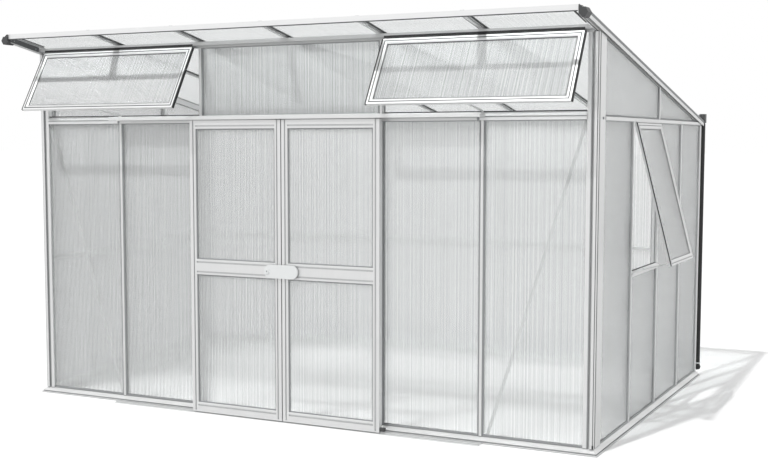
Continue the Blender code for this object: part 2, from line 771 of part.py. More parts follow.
def make_gutter(metal, plastic):
    """Rear gutter, the end caps of the gutter and of the front edge, and the downpipe."""
    inner = DEPTH + 0.012 + GAP
    wide = GUTTER_OUT - 0.012 - GAP
    inner_top = roof_z(inner + 0.003, -0.001) - GUTTER_LOW
    outline = [
        (0.000, 0.008),
        (0.008, 0.000),
        (wide - 0.012, 0.000),
        (wide, 0.012),
        (wide, GUTTER_TALL),
        (wide - 0.010, GUTTER_TALL),
        (wide - 0.010, GUTTER_TALL - 0.003),
        (wide - 0.003, GUTTER_TALL - 0.003),
        (wide - 0.003, 0.0132),
        (wide - 0.0132, 0.003),
        (0.0092, 0.003),
        (0.003, 0.0092),
        (0.003, inner_top),
        (0.000, inner_top),
    ]
    start = Vector((-GUTTER_X, inner, GUTTER_LOW))
    profile("rear_gutter", outline, start, X * (2 * GUTTER_X), Y, Z, metal)
    for sign, side in ((-1, "left"), (1, "right")):
        make_edge_cap(side, sign, plastic)
        cap = make_gutter_cap(side, sign, plastic)
    make_downpipe(cap, plastic)


def tube(name, centre, radius, wall, low, high, material):
    """Upright tube with an open bore."""
    bm = bmesh.new()
    circles = []
    for size in (radius, radius - wall):
        verts = bmesh.ops.create_circle(bm, radius=size, segments=PIPE_SIDES)["verts"]
        circles += list({edge for vert in verts for edge in vert.link_edges})
    bmesh.ops.bridge_loops(bm, edges=circles)
    grown = bmesh.ops.extrude_face_region(bm, geom=bm.faces[:])
    moved = [item for item in grown["geom"] if isinstance(item, bmesh.types.BMVert)]
    bmesh.ops.translate(bm, verts=moved, vec=Z * (high - low))
    bmesh.ops.translate(bm, verts=bm.verts, vec=Vector((centre[0], centre[1], low)))
    return finish_mesh(name, bm, material)


def make_downpipe(cap, plastic):
    """Downpipe at the rear right, on a spout that is part of the gutter's end cap."""
    centre = (HALF_W - 0.003, GUTTER_Y + 0.040)
    spout = tube(
        "spout", centre, PIPE_R - PIPE_WALL - GAP, 0.002, GUTTER_LOW - 0.040, GUTTER_LOW + 0.012, plastic,
    )
    fuse(cap.name, [cap, spout])
    tube("downpipe", centre, PIPE_R, PIPE_WALL, PIPE_FOOT, GUTTER_LOW - 0.008, plastic)


def framed_sash(name, width, height, drop, metal, extra=()):
    """Flat sash frame with a hinge bead along its top, in its own axes.

    X runs along the hinge, Z up, and the hinge line is at the origin; the frame's
    top is below it by drop. Extra pieces, already in these axes, are joined on.
    """
    half = width / 2
    slot_back = SASH_SLOT + SHEET + 2 * GAP
    section = [
        (0.000, 0.000), (0.0125, 0.000), (0.0125, 0.003), (0.0155, 0.003), (0.0155, 0.000),
        (SASH_BAR - 0.008, 0.000), (SASH_BAR, 0.004), (SASH_BAR, SASH_SLOT),
        (SASH_BAR - 0.008, SASH_SLOT), (SASH_BAR - 0.008, slot_back), (SASH_BAR, slot_back),
        (SASH_BAR, SASH_THICK), (0.000, SASH_THICK),
    ]
    low = -height
    high = -drop
    pieces = []
    for sign in (-1, 1):
        start = Vector((sign * half, 0, low))
        pieces.append(profile("side", section, start, Z * (high - low), X * -sign, Y, metal))
    for z, up in ((low, Z), (high, -Z)):
        start = Vector((-half + 0.002, 0, z))
        pieces.append(profile("rail", section, start, X * (width - 0.004), up, Y, metal))
    circle = [(BEAD * math.cos(a), BEAD * math.sin(a)) for a in [math.tau * k / 8 for k in range(8)]]
    bead_start = Vector((-half + 0.010, SASH_THICK / 2, 0))
    pieces.append(profile("bead", circle, bead_start, X * (width - 0.020), Y, Z, metal))
    neck = [(-0.0015, -drop - 0.003), (0.0015, -drop - 0.003), (0.0015, 0.000), (-0.0015, 0.000)]
    pieces.append(profile("neck", neck, bead_start, X * (width - 0.020), Y, Z, metal))
    return fuse(name, pieces + list(extra))


def make_sash(kind, width, height, drop, matrix, stay, metal, sheet):
    """Sash frame with its stay and its sheet, turned to the pose that the matrix gives."""
    stay.data.transform(matrix.inverted())
    frame = framed_sash(kind.format("frame"), width, height, drop, metal, [stay])
    frame.data.transform(matrix)
    inset = SASH_BAR - 0.008 + 0.001
    pane = box(
        kind.format("sheet"), (-width / 2 + inset, SASH_SLOT + GAP, -height + inset),
        (width / 2 - inset, SASH_SLOT + GAP + SHEET, -drop - inset), sheet,
    )
    pane.data.transform(matrix)


def make_vents(metal, sheet):
    """Two top-hung vents over the front wall, propped open on their stays."""
    width = VENT_X1 - VENT_X0
    for sign, side in ((-1, "left"), (1, "right")):
        middle = sign * (VENT_X0 + VENT_X1) / 2
        matrix = (
            Matrix.Translation((middle, -HOOD + 0.006, HEAD_Z + HOOD_LOW - GAP - BEAD))
            @ Matrix.Rotation(-VENT_OPEN, 4, "X")
            @ Matrix.Translation((0, -SASH_THICK / 2, 0))
        )
        stay = stay_arm(sign * 2 * BAY, matrix, metal)
        make_sash("vent_{}_" + side, width, VENT_LONG, VENT_DROP, matrix, stay, metal, sheet)


def stay_arm(x, matrix, metal):
    """Casement stay from the vent's lower bar to its foot on the transom's sill."""
    joint = matrix @ Vector((0, 0.018, -VENT_LONG + 0.012))
    foot_z = EAVE_Z + TRANSOM_SILL + GAP
    outline = [
        (joint.y, joint.z),
        (joint.y + 0.004, joint.z - 0.010),
        (-0.030, foot_z + 0.012),
        (0.0065, foot_z),
        (0.0105, foot_z),
        (0.0105, foot_z + 0.014),
        (-0.026, foot_z + 0.022),
    ]
    return profile("stay", outline, Vector((x - STAY_WIDE / 2, 0, 0)), X * STAY_WIDE, Y, Z, metal)


def make_gable_vent(metal, sheet):
    """Top-hung vent in the right gable, propped open on a stay from its sill."""
    lines = gable_lines()
    width = GABLE_BAY - 0.044
    middle = (lines[0] + lines[1]) / 2
    matrix = (
        Matrix.Translation((HALF_W + 0.004, middle, RAIL_Z - GAP - BEAD))
        @ Matrix.Rotation(math.radians(90), 4, "Z")
        @ Matrix.Rotation(-SASH_OPEN, 4, "X")
        @ Matrix.Translation((0, -SASH_THICK / 2, 0))
    )
    joint = matrix @ Vector((STAY_OFF, 0.018, -SASH_LONG + 0.012))
    sill = SILL_Z + SILL_H + GAP
    outline = [
        (HALF_W - 0.021, sill),
        (HALF_W - 0.008, sill),
        (HALF_W + 0.013, sill - 0.009),
        (joint.x, joint.z - 0.008),
        (joint.x, joint.z),
        (HALF_W + 0.012, sill - 0.0035),
        (HALF_W - 0.007, sill + 0.004),
        (HALF_W - 0.021, sill + 0.004),
    ]
    start = Vector((0, joint.y - STAY_WIDE / 2, 0))
    stay = profile("stay", outline, start, Y * STAY_WIDE, X, Z, metal)
    make_sash("gable_vent_{}", width, SASH_LONG, SASH_DROP, matrix, stay, metal, sheet)


def leaf_outline(width):
    """Door stile or rail: a groove in its face and a sheet groove on its inner edge."""
    slot_back = LEAF_SLOT + SHEET + 2 * GAP
    return [
        (0.000, 0.000),
        (width - 0.022, 0.000),
        (width - 0.022, 0.005),
        (width - 0.013, 0.005),
        (width - 0.013, 0.000),
        (width - 0.002, 0.000),
        (width, 0.002),
        (width, LEAF_SLOT),
        (width - 0.010, LEAF_SLOT),
        (width - 0.010, slot_back),
        (width, slot_back),
        (width, LEAF_THICK),
        (0.000, LEAF_THICK),
    ]


def make_leaf(side, metal, sheet):
    """One sliding door leaf, hung in front of the wall; its skirts straddle the ground track's rib."""
    sign = -1 if side == "left" else 1
    left, right = sorted((sign * (LEAF_W + MEETING_GAP / 2), sign * MEETING_GAP / 2))
    front = LEAF_BACK - LEAF_THICK
    tall = LEAF_TOP - SKIRT_TOP
    pieces = [
        profile("stile", leaf_outline(STILE), Vector((left, front, SKIRT_TOP)), Z * tall, X, Y, metal),
        profile("stile", leaf_outline(STILE), Vector((right, front, SKIRT_TOP)), Z * tall, -X, Y, metal),
    ]
    span = X * (right - left - 2 * STILE + 0.012)
    inset = left + STILE - 0.006
    kick = leaf_outline(KICK_TOP - SKIRT_TOP)
    head = leaf_outline(LEAF_RAIL_TOP)
    middle = leaf_outline((MID_HIGH - MID_LOW) / 2 + 0.001)
    middle_z = (MID_HIGH + MID_LOW) / 2
    for outline, height, up in (
        (kick, SKIRT_TOP, Z),
        (head, LEAF_TOP, -Z),
        (middle, middle_z - 0.001, Z),
        (middle, middle_z + 0.001, -Z),
    ):
        pieces.append(profile("rail", outline, Vector((inset, front, height)), span, up, Y, metal))
    for near in (front, LEAF_BACK - SKIRT):
        pieces.append(box(
            "skirt", (left, near, LEAF_BOTTOM), (right, near + SKIRT, SKIRT_TOP + 0.002), metal,
        ))
    centre = front + LEAF_THICK / 2
    pieces.append(box(
        "tongue", (left + 0.050, centre - 0.002, LEAF_TOP - 0.004),
        (right - 0.050, centre + 0.002, LEAF_TOP + 0.015), metal,
    ))
    for x in (left + 0.060, right - 0.060):
        pieces.append(box(
            "runner", (x - 0.020, centre - 0.005, TRACK_RIB + GAP),
            (x + 0.020, centre + 0.005, SKIRT_TOP + 0.003), metal,
        ))
    frame = fuse("door_frame_" + side, pieces)
    groove = 0.010 - 0.001
    sheet_y = front + LEAF_SLOT + GAP
    for label, low, high in (
        ("upper", MID_HIGH - groove, LEAF_TOP - LEAF_RAIL_TOP + groove),
        ("lower", KICK_TOP - groove, MID_LOW + groove),
    ):
        box(
            "door_sheet_%s_%s" % (side, label), (left + STILE - groove, sheet_y, low),
            (right - STILE + groove, sheet_y + SHEET, high), sheet,
        )
    return frame


def make_tracks(metal):
    """Ground track and header track of the sliding door."""
    rib = LEAF_BACK - LEAF_THICK / 2
    near = -BASE_LIP - GAP
    ground = [
        (near, 0.000), (near, 0.008), (near - 0.004, 0.008), (near - 0.004, 0.003),
        (rib + 0.003, 0.003), (rib + 0.003, TRACK_RIB), (rib - 0.003, TRACK_RIB), (rib - 0.003, 0.003),
        (-TRACK_OUT + 0.004, 0.003), (-TRACK_OUT, 0.000),
    ]
    start = Vector((-TRACK_HALF, 0, 0))
    profile("door_track_bottom", ground, start, X * (2 * TRACK_HALF), Y, Z, metal)
    back = -0.012 - GAP
    cover = -0.092
    header = [
        (back, HEADER_LOW), (back, HEADER_HIGH), (cover + 0.004, HEADER_HIGH), (cover, HEADER_HIGH - 0.004),
        (cover, HEADER_LOW), (cover + 0.003, HEADER_LOW), (cover + 0.003, HEADER_HIGH - 0.006),
        (back - 0.003, HEADER_HIGH - 0.006), (back - 0.003, HEADER_LOW),
    ]
    profile("door_track_top", header, start, X * (2 * TRACK_HALF), Y, Z, metal)


def make_latch(plastic):
    """Swinging latch bar on the left leaf, across the meeting stiles."""
    front = LEAF_BACK - LEAF_THICK
    pivot = Vector((LATCH_X, front, LATCH_Z))
    radius = LATCH_TALL / 2
    long = LATCH_LONG - LATCH_TALL
    arc = [math.pi / 2 + math.pi * k / 12 for k in range(13)]
    left = [(radius * math.cos(a), radius * math.sin(a)) for a in arc]
    right = [(long - x, -y) for x, y in left]
    start = Vector((pivot.x + LATCH_SET, front - LATCH_CLEAR, pivot.z))
    bar = profile("bar", left + right, start, Y * -0.012, X, Z, plastic)
    circle = [(0.015 * math.cos(math.tau * k / 16), 0.015 * math.sin(math.tau * k / 16)) for k in range(16)]
    boss = profile(
        "boss", circle, Vector((pivot.x, front - GAP, pivot.z)), Y * -(LATCH_CLEAR + 0.018), X, Z, plastic,
    )
    latch = fuse("door_latch", [bar, boss])
    latch.data.transform(Matrix.Translation(-pivot))
    latch.location = pivot
    return latch


def make_braces(metal):
    """Flat diagonal braces behind the end bays of the front wall, base rail's foot to transom."""
    strip = [(-0.010, 0.000), (0.010, 0.000), (0.010, 0.003), (-0.010, 0.003)]
    for sign, side in ((-1, "left"), (1, "right")):
        top = Vector((sign * (HALF_W - CORNER_FLANGE - 0.008), BRACE_Y, EAVE_Z))
        low = Vector((sign * (2 * BAY + 0.022), BRACE_Y, BASE_FOOT))
        along = (top - low).normalized()
        start = low - along * 0.020
        run = top - low + along * 0.040
        ends = [(low + Z * GAP, -Z), (top - Z * GAP, Z)]
        profile("brace_" + side, strip, start, run, along.cross(Y), Y, metal, ends)


def main():
    clear_scene()
    metal = make_material("mill_aluminium", (0.78, 0.79, 0.80), 0.35, 1.0)
    sheet = make_material("twin_wall_sheet", (0.80, 0.83, 0.82), 0.25, 0.0, 0.5)
    dark = make_material("dark_plastic", (0.07, 0.07, 0.07), 0.5)
    white = make_material("white_plastic", (0.85, 0.86, 0.86), 0.4)
    for side in ("front", "rear", "left", "right"):
        base_rail(side, metal)
    make_corner_posts(metal)
    make_front(metal, sheet)
    for side in ("right", "left"):
        make_gable(side, metal, sheet)
    make_rear(metal, sheet)
    make_roof(metal, sheet)
    make_gutter(metal, dark)
    make_vents(metal, sheet)
    make_gable_vent(metal, sheet)
    for side in ("left", "right"):
        make_leaf(side, metal, sheet)
    make_tracks(metal)
    make_latch(white)
    make_braces(metal)


main()
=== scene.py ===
# %% [markdown]
# # A pent-roof greenhouse
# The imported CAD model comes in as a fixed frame: extruded aluminium bars, twin-wall sheets, vents
# and a pair of sliding doors. This script gives each surface its finish, adds the rubber seals,
# bolts and moulded bits that are too small for the CAD model, and sets the light and the camera.

# %% Load the frame
import json
import math

import bmesh
import bpy
from mathutils import Matrix, Vector


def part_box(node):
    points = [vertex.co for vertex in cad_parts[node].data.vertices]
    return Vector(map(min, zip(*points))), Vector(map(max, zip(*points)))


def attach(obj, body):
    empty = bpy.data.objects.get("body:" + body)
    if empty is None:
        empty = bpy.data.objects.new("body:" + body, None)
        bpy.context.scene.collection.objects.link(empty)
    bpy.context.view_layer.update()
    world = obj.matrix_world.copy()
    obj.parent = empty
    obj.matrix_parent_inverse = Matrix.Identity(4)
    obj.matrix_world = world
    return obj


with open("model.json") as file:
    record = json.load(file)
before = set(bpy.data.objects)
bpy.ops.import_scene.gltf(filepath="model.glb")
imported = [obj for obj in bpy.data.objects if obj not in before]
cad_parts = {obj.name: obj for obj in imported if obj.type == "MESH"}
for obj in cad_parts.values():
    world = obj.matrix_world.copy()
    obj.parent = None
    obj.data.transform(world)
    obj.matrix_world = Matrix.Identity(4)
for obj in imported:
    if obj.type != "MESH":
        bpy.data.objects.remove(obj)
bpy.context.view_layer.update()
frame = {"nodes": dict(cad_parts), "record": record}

nodes = frame["nodes"]
X = Vector((1, 0, 0))
Y = Vector((0, 1, 0))
Z = Vector((0, 0, 1))

# %% [markdown]
# ## Sizes that come from the frame
# The small pieces sit on the big ones, so their places are read from the CAD nodes' boxes. They
# could be typed in as numbers, but then a change to the CAD model would leave the pieces behind. A
# wall's frame of reference is its left end, as seen from outside, the way along it, and the way in.

# %% Sizes read from the CAD nodes
def low(node):
    """Lowest corner of a node's box."""
    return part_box(node)[0]


def high(node):
    """Highest corner of a node's box."""
    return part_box(node)[1]


HALF_W = high("corner_post_front_right").x
DEPTH = high("corner_post_rear_right").y
BAR_HALF = (high("door_jamb_right").x - low("door_jamb_right").x) / 2
BAY = low("door_jamb_right").x + BAR_HALF
SPINE = 0.008             # half width of a bar's raised spine
BAR_EDGE = 0.0045         # a bar's middle line to the edge of the sheet in its groove
SILL = low("front_bar_left").z
EAVE_Z = low("transom_front").z
RAIL_Z = high("gable_sheet_right_1").z - 0.010
HEAD_Z = low("top_rail_front").z
POST_FRONT = HALF_W - low("corner_post_front_right").x
POST_SIDE = high("corner_post_front_right").y
POST_REAR = HALF_W - low("corner_post_rear_right").x
SHEET_FACE = low("clerestory_sheet").y
GABLE_LINES = [high("gable_sheet_right_1").y + BAR_EDGE, low("gable_sheet_right_3").y - BAR_EDGE]
GABLE_LINES.append(2 * GABLE_LINES[1] - GABLE_LINES[0])

WALLS = {
    "front": (Vector((-HALF_W, 0, 0)), X, Y),
    "right": (Vector((HALF_W, 0, 0)), Y, -X),
    "rear": (Vector((HALF_W, DEPTH, 0)), -X, -Y),
    "left": (Vector((-HALF_W, DEPTH, 0)), -Y, X),
}
print("walls %.3f x %.3f m, bay %.3f m" % (2 * HALF_W, DEPTH, BAY))
print("gable bars at", [round(y, 4) for y in GABLE_LINES])

# %% [markdown]
# ## The camera
# The camera stands where the photographer stood, right of the middle and at eye height. The
# picture's optical centre lies a little left of its middle and below it, which a small shift of the
# lens sets. Turning the camera instead would change how the uprights lean.

# %% Camera
CAMERA_AT = Vector((3.7533, -6.4118, 1.6940))
CAMERA_YAW = -0.47821       # turn from +Y towards +X
CAMERA_PITCH = 0.08775      # downward tilt
CAMERA_ROLL = -0.00109
LENS_MM = 57.94
CAMERA_SHIFT = (0.0426, 0.0233)     # shares of the picture's width, across and up


def make_camera():
    """Camera at the picture's point of view."""
    ahead = Vector((
        math.sin(CAMERA_YAW) * math.cos(CAMERA_PITCH),
        math.cos(CAMERA_YAW) * math.cos(CAMERA_PITCH),
        -math.sin(CAMERA_PITCH),
    ))
    side = ahead.cross(Z).normalized()
    up = side.cross(ahead)
    right = side * math.cos(CAMERA_ROLL) + up * math.sin(CAMERA_ROLL)
    top = up * math.cos(CAMERA_ROLL) - side * math.sin(CAMERA_ROLL)
    turn = Matrix((right, top, -ahead)).transposed().to_4x4()
    data = bpy.data.cameras.new("camera")
    data.lens = LENS_MM
    data.sensor_width = 36
    data.shift_x, data.shift_y = CAMERA_SHIFT
    data.clip_end = 400
    camera = bpy.data.objects.new("camera", data)
    camera.matrix_world = Matrix.Translation(CAMERA_AT) @ turn
    bpy.context.scene.collection.objects.link(camera)
    bpy.context.scene.camera = camera
    return camera


print("camera at", tuple(make_camera().location))

# %% [markdown]
# ## Nodes and colours
# Every material here is made of shader nodes. A node takes four or five lines to add, set up and
# link by hand, so one helper does it all in a call. One function turns a screen colour, written as
# hex, into the linear values that a shader wants.

# %% Helpers for materials
def linear(hex_colour):
    """Linear RGBA of an sRGB hex colour such as #c8cac9."""
    parts = [int(hex_colour[i:i + 2], 16) / 255 for i in (1, 3, 5)]
    return [p / 12.92 if p <= 0.04045 else ((p + 0.055) / 1.055) ** 2.4 for p in parts] + [1.0]


def add_node(tree, kind, settings=None, **inputs):
    """Add a node, set its properties and its inputs; an input is a value or another node's socket.

    An input is named by its label with _ for a space, or by its place as in0, in1 and so on.
    """
    node = tree.nodes.new(kind)
    for key, value in (settings or {}).items():
        setattr(node, key, value)
    for key, value in inputs.items():
        numbered = key.startswith("in") and key[2:].isdigit()
        socket = node.inputs[int(key[2:]) if numbered else key.replace("_", " ")]
        if isinstance(value, bpy.types.NodeSocket):
            tree.links.new(value, socket)
        else:
            socket.default_value = value
    return node


def new_material(name):
    """Empty node material with its output."""
    mat = bpy.data.materials.new(name)
    mat.use_nodes = True
    mat.node_tree.nodes.clear()
    return mat, mat.node_tree, mat.node_tree.nodes.new("ShaderNodeOutputMaterial")


# %% [markdown]
# ## Mill-finish aluminium
# The bars are pressed through a die and left as they come out: a soft silver that scatters a
# reflection, with faint die lines along the bar and a film of oxide that is never quite even. Real
# die lines are about 0.3 mm apart, too fine for this view, so they are drawn about 3 mm apart. An
# image of metal could be wrapped on, but a noise that is stretched along the bar has no seams and
# suits a bar of any length. In the grooves, ambient occlusion darkens the colour towards grey within
# a few millimetres, as painted shade.

# %% Mill-finish aluminium
DIE_LINE = 0.003          # metres between drawn die lines
GROOVE_SHADE_REACH = 0.012      # how far the painted shade in the grooves reaches


def make_aluminium(along, name="mill_finish_aluminium", hex_low="#dedfdf", hex_high="#eeeeee"):
    """Extruded aluminium whose die lines run along one axis."""
    mat, tree, output = new_material(name + "_along_" + along.lower())
    place = add_node(tree, "ShaderNodeTexCoord")
    scale = [0.6 if axis == along else 1 / DIE_LINE for axis in "XYZ"]
    stretched = add_node(tree, "ShaderNodeMapping", Vector=place.outputs["Object"], Scale=scale)
    lines = add_node(tree, "ShaderNodeTexNoise", Vector=stretched.outputs[0], Scale=1.0, Detail=2.0)
    cloud = add_node(tree, "ShaderNodeTexNoise", Vector=place.outputs["Object"], Scale=9.0, Detail=4.0)
    mixed = add_node(
        tree, "ShaderNodeMix", {"data_type": "FLOAT"}, in0=0.45, in2=lines.outputs[0], in3=cloud.outputs[0],
    )
    tone = add_node(
        tree, "ShaderNodeMix", {"data_type": "RGBA"}, in0=mixed.outputs[0],
        in6=linear(hex_low), in7=linear(hex_high),
    )
    # Painted shade: ambient occlusion darkens the colour towards grey in grooves and corners.
    near = add_node(tree, "ShaderNodeAmbientOcclusion", {"samples": 8}, Distance=GROOVE_SHADE_REACH)
    unshaded_share = add_node(
        tree, "ShaderNodeMapRange", Value=near.outputs["AO"], From_Min=0.25, From_Max=0.85,
        To_Min=0.0, To_Max=1.0,
    )
    colour = add_node(
        tree, "ShaderNodeMix", {"data_type": "RGBA"}, in0=unshaded_share.outputs[0],
        in6=linear("#a2a4a5"), in7=tone.outputs[2],
    )
    rough = add_node(
        tree, "ShaderNodeMapRange", Value=mixed.outputs[0], From_Min=0.3, From_Max=0.7,
        To_Min=0.36, To_Max=0.5,
    )
    bump = add_node(tree, "ShaderNodeBump", Strength=0.15, Distance=0.0003, Height=lines.outputs[0])
    shader = add_node(
        tree, "ShaderNodeBsdfPrincipled", Base_Color=colour.outputs[2], Metallic=0.6,
        Roughness=rough.outputs[0], Normal=bump.outputs[0],
    )
    tree.links.new(shader.outputs[0], output.inputs["Surface"])
    return mat


aluminium = {axis: make_aluminium(axis) for axis in "XYZ"}
# A darker copy for the top rail's face, which lies in shade under the roof's edge: painted shade.
painted_shade_aluminium = make_aluminium("X", "painted_shade_aluminium", "#b9baba", "#c6c7c7")
# A lighter copy for the roof frame, so that its sunlit fascia comes out nearly white: painted light.
painted_light_aluminium = make_aluminium("Y", "painted_light_aluminium", "#e9eaea", "#f5f5f5")
print("aluminium", [mat.name for mat in aluminium.values()], painted_shade_aluminium.name, painted_light_aluminium.name)

# %% [markdown]
# ## Twin-wall polycarbonate sheet
# The sheet is two clear skins joined by fine ribs, extruded in one run, so that it lets light through
# but smears what is behind it sideways: level bars stay readable behind it, and upright ones vanish.
# Each rib works as a weak lens. The two skins and the ribs between them could be modelled, but
# thousands of thin walls are slow to render and flicker from afar, so a bump in the shape of the
# ribs does the same here. The real ribs are 6 mm apart and are drawn 11 mm apart, two pixels of the
# view. Over them lie faint light and dark streaks, since no rib is quite like the next. Shadow rays
# go straight through, slightly tinted, so that the sun reaches the floor inside. The sheets that the
# sun leaves by, at the gables and the rear, take more of it, so that the whole building casts a pale
# shadow and not its bars alone.

# %% Twin-wall sheet
RIB = 0.011               # metres between drawn ribs
STREAK = 0.009            # width of the light and dark streaks


def make_sheet(across, part, hex_low, hex_high, hex_shadow, weight, ior, ripple=0.0007):
    """Twin-wall sheet whose ribs lie side by side along one axis.

    The streaks run between the two tones, the third tints the sun's rays, weight is the share of light
    that goes through, and ripple is how high the ribs stand in the bump.
    """
    mat, tree, output = new_material("twin_wall_polycarbonate_" + part)
    place = add_node(tree, "ShaderNodeTexCoord")
    split = add_node(tree, "ShaderNodeSeparateXYZ", Vector=place.outputs["Object"])
    turn = add_node(
        tree, "ShaderNodeMath", {"operation": "MULTIPLY"}, in0=split.outputs[across], in1=math.tau / RIB,
    )
    wave = add_node(tree, "ShaderNodeMath", {"operation": "SINE"}, in0=turn.outputs[0])
    bump = add_node(tree, "ShaderNodeBump", Strength=1.0, Distance=ripple, Height=wave.outputs[0])
    streaks = add_node(
        tree, "ShaderNodeTexNoise", {"noise_dimensions": "1D"}, W=split.outputs[across],
        Scale=1 / STREAK, Detail=3.0,
    )
    strength = add_node(
        tree, "ShaderNodeMapRange", Value=streaks.outputs[0], From_Min=0.3, From_Max=0.7,
        To_Min=0.0, To_Max=1.0,
    )
    colour = add_node(
        tree, "ShaderNodeMix", {"data_type": "RGBA"}, in0=strength.outputs[0],
        in6=linear(hex_low), in7=linear(hex_high),
    )
    shader = add_node(
        tree, "ShaderNodeBsdfPrincipled", Base_Color=colour.outputs[2], Roughness=0.14, IOR=ior,
        Transmission_Weight=weight, Normal=bump.outputs[0],
    )
    clear = add_node(tree, "ShaderNodeBsdfTransparent", Color=linear(hex_shadow))
    path = add_node(tree, "ShaderNodeLightPath")
    mix = add_node(
        tree, "ShaderNodeMixShader", in0=path.outputs["Is Shadow Ray"], in1=shader.outputs[0],
        in2=clear.outputs[0],
    )
    tree.links.new(mix.outputs[0], output.inputs["Surface"])
    return mat


# The roof is seen from below at a flat angle, so its ribs and its mirror shine are kept low.
# The kinds are one polycarbonate in their own tones. The gables, lit by the sky alone, are painted lighter,
# as painted light; the clerestory and the front vents get darker tones.
sheets = {
    "wall": make_sheet("X", "walls", "#e5e7e7", "#ffffff", "#f8f9f9", 0.81, 1.25),
    "rear": make_sheet("X", "rear", "#e5e7e7", "#ffffff", "#dadcdc", 0.80, 1.25),
    "clerestory": make_sheet("X", "clerestory", "#d6d8d8", "#f6f7f7", "#f2f3f3", 0.79, 1.25),
    "gable": make_sheet("Y", "gables", "#ebeded", "#ffffff", "#dadcdc", 0.72, 1.2),
    "roof": make_sheet("X", "roof", "#eceeee", "#f9fafa", "#fbfcfc", 0.91, 1.05, 0.0001),
}
print("sheets", [mat.name for mat in sheets.values()])

# %% [markdown]
# ## Rubber, moulded plastic and bolts
# The seals are extruded EPDM rubber, matt, in greys from light to black. The end caps and the door
# bumper are moulded plastic with the fine spark texture of the mould; its grains of 0.2 mm are drawn
# at 2 mm. The downpipe is extruded black plastic, smoother than the caps. The latch and the pipe's
# collar are polished white plastic. The bolts are bright zinc on steel. A plain colour would do for
# pieces this small, but no real surface is quite even, so one function gives all of them a fine
# noise between two near tones, and a little bump.

# %% Rubber, plastics and zinc
def make_moulded(name, hex_low, hex_high, grain, depth, roughness, metallic=0.0):
    """A surface with a fine even grain between two tones."""
    mat, tree, output = new_material(name)
    place = add_node(tree, "ShaderNodeTexCoord")
    grains = add_node(
        tree, "ShaderNodeTexNoise", Vector=place.outputs["Object"], Scale=1 / grain, Detail=2.0,
    )
    colour = add_node(
        tree, "ShaderNodeMix", {"data_type": "RGBA"}, in0=grains.outputs[0],
        in6=linear(hex_low), in7=linear(hex_high),
    )
    bump = add_node(tree, "ShaderNodeBump", Strength=0.4, Distance=depth, Height=grains.outputs[0])
    shader = add_node(
        tree, "ShaderNodeBsdfPrincipled", Base_Color=colour.outputs[2], Roughness=roughness,
        Metallic=metallic, Normal=bump.outputs[0],
    )
    tree.links.new(shader.outputs[0], output.inputs["Surface"])
    return mat


seal_rubber = make_moulded("grey_epdm_rubber", "#8a8c8d", "#9a9c9d", 0.004, 0.0001, 0.7)
# A lighter copy of the grey rubber for the gables in shade: painted light.
gable_rubber_painted_light = make_moulded("light_grey_epdm_rubber", "#a4a6a7", "#b2b4b5", 0.004, 0.0001, 0.7)
dark_rubber = make_moulded("dark_grey_epdm_rubber", "#515354", "#616364", 0.004, 0.0001, 0.7)
black_rubber = make_moulded("black_epdm_rubber", "#1d1e1f", "#2b2c2d", 0.004, 0.0001, 0.65)
dark_plastic = make_moulded("spark_textured_dark_plastic", "#3c3d3e", "#4f5051", 0.002, 0.0002, 0.5)
pipe_plastic = make_moulded("extruded_black_pipe_plastic", "#0e0f10", "#17181a", 0.003, 0.0001, 0.35)
white_plastic = make_moulded("polished_white_plastic", "#e4e6e6", "#eef0f0", 0.003, 0.0001, 0.3)
zinc = make_moulded("zinc_plated_steel", "#8b8e90", "#a9acae", 0.001, 0.0001, 0.35, 1.0)
print("eight small materials made")

# %% [markdown]
# ## A finish for each node
# Die lines run along a bar, so each bar needs the aluminium whose lines run its own way, and a frame
# with bars both ways takes the way of most of its length. Each bar's faces could be picked out and
# given their own lines, but a node is loose triangles, and at this distance nobody sees the lines of
# its cross bars. The name of a node says what it is, so the name picks the finish.

# %% Give the CAD nodes their materials
ALONG_X = ("base_front", "base_rear", "transom_front", "rear_gutter",
           "door_track_top", "door_track_bottom", "vent_frame_left", "vent_frame_right")
ALONG_Y = ("base_left", "base_right", "rake_bar_left", "rake_bar_right")
# A word in a sheet's name and the kind of sheet it is; "gable" comes first, for the gable's vent.
SHEET_KINDS = {
    "gable": "gable", "roof": "roof", "clerestory": "clerestory", "vent": "clerestory", "rear": "rear",
}


def finish_of(name):
    """The finish that a CAD node gets."""
    if "sheet" in name:
        return sheets[next((kind for word, kind in SHEET_KINDS.items() if word in name), "wall")]
    if name == "downpipe":
        return pipe_plastic
    if "cap_" in name:
        return dark_plastic
    if name == "door_latch":
        return white_plastic
    # The top rail takes the darker copy of the aluminium, as painted shade.
    if name == "top_rail_front":
        return painted_shade_aluminium
    # The roof frame takes the lighter copy of the aluminium, as painted light.
    if name == "roof_frame":
        return painted_light_aluminium
    return aluminium["X" if name in ALONG_X else "Y" if name in ALONG_Y else "Z"]


for node_name, node in nodes.items():
    node.data.materials.clear()
    node.data.materials.append(finish_of(node_name))
print("finished", len(nodes), "CAD nodes")

# %% [markdown]
# ## Making small pieces
# Seals and strips are extrusions in real life, and here too: an outline is laid across the strip's
# way, made a face, and extruded along it. A curve with a bevel would serve too, but an extruded face
# keeps each corner of the outline just where it was drawn. One helper does that in a bmesh, and a
# second turns the bmesh into an object that rides on its body.

# %% Helpers for pieces
def add_strip(bm, outline, start, run, across, depth):
    """Extrude a closed outline of (across, depth) points from start by run."""
    ring = [bm.verts.new(start + across * a + depth * d) for a, d in outline]
    grown = bmesh.ops.extrude_face_region(bm, geom=[bm.faces.new(ring)])
    moved = [item for item in grown["geom"] if isinstance(item, bmesh.types.BMVert)]
    bmesh.ops.translate(bm, verts=moved, vec=run)


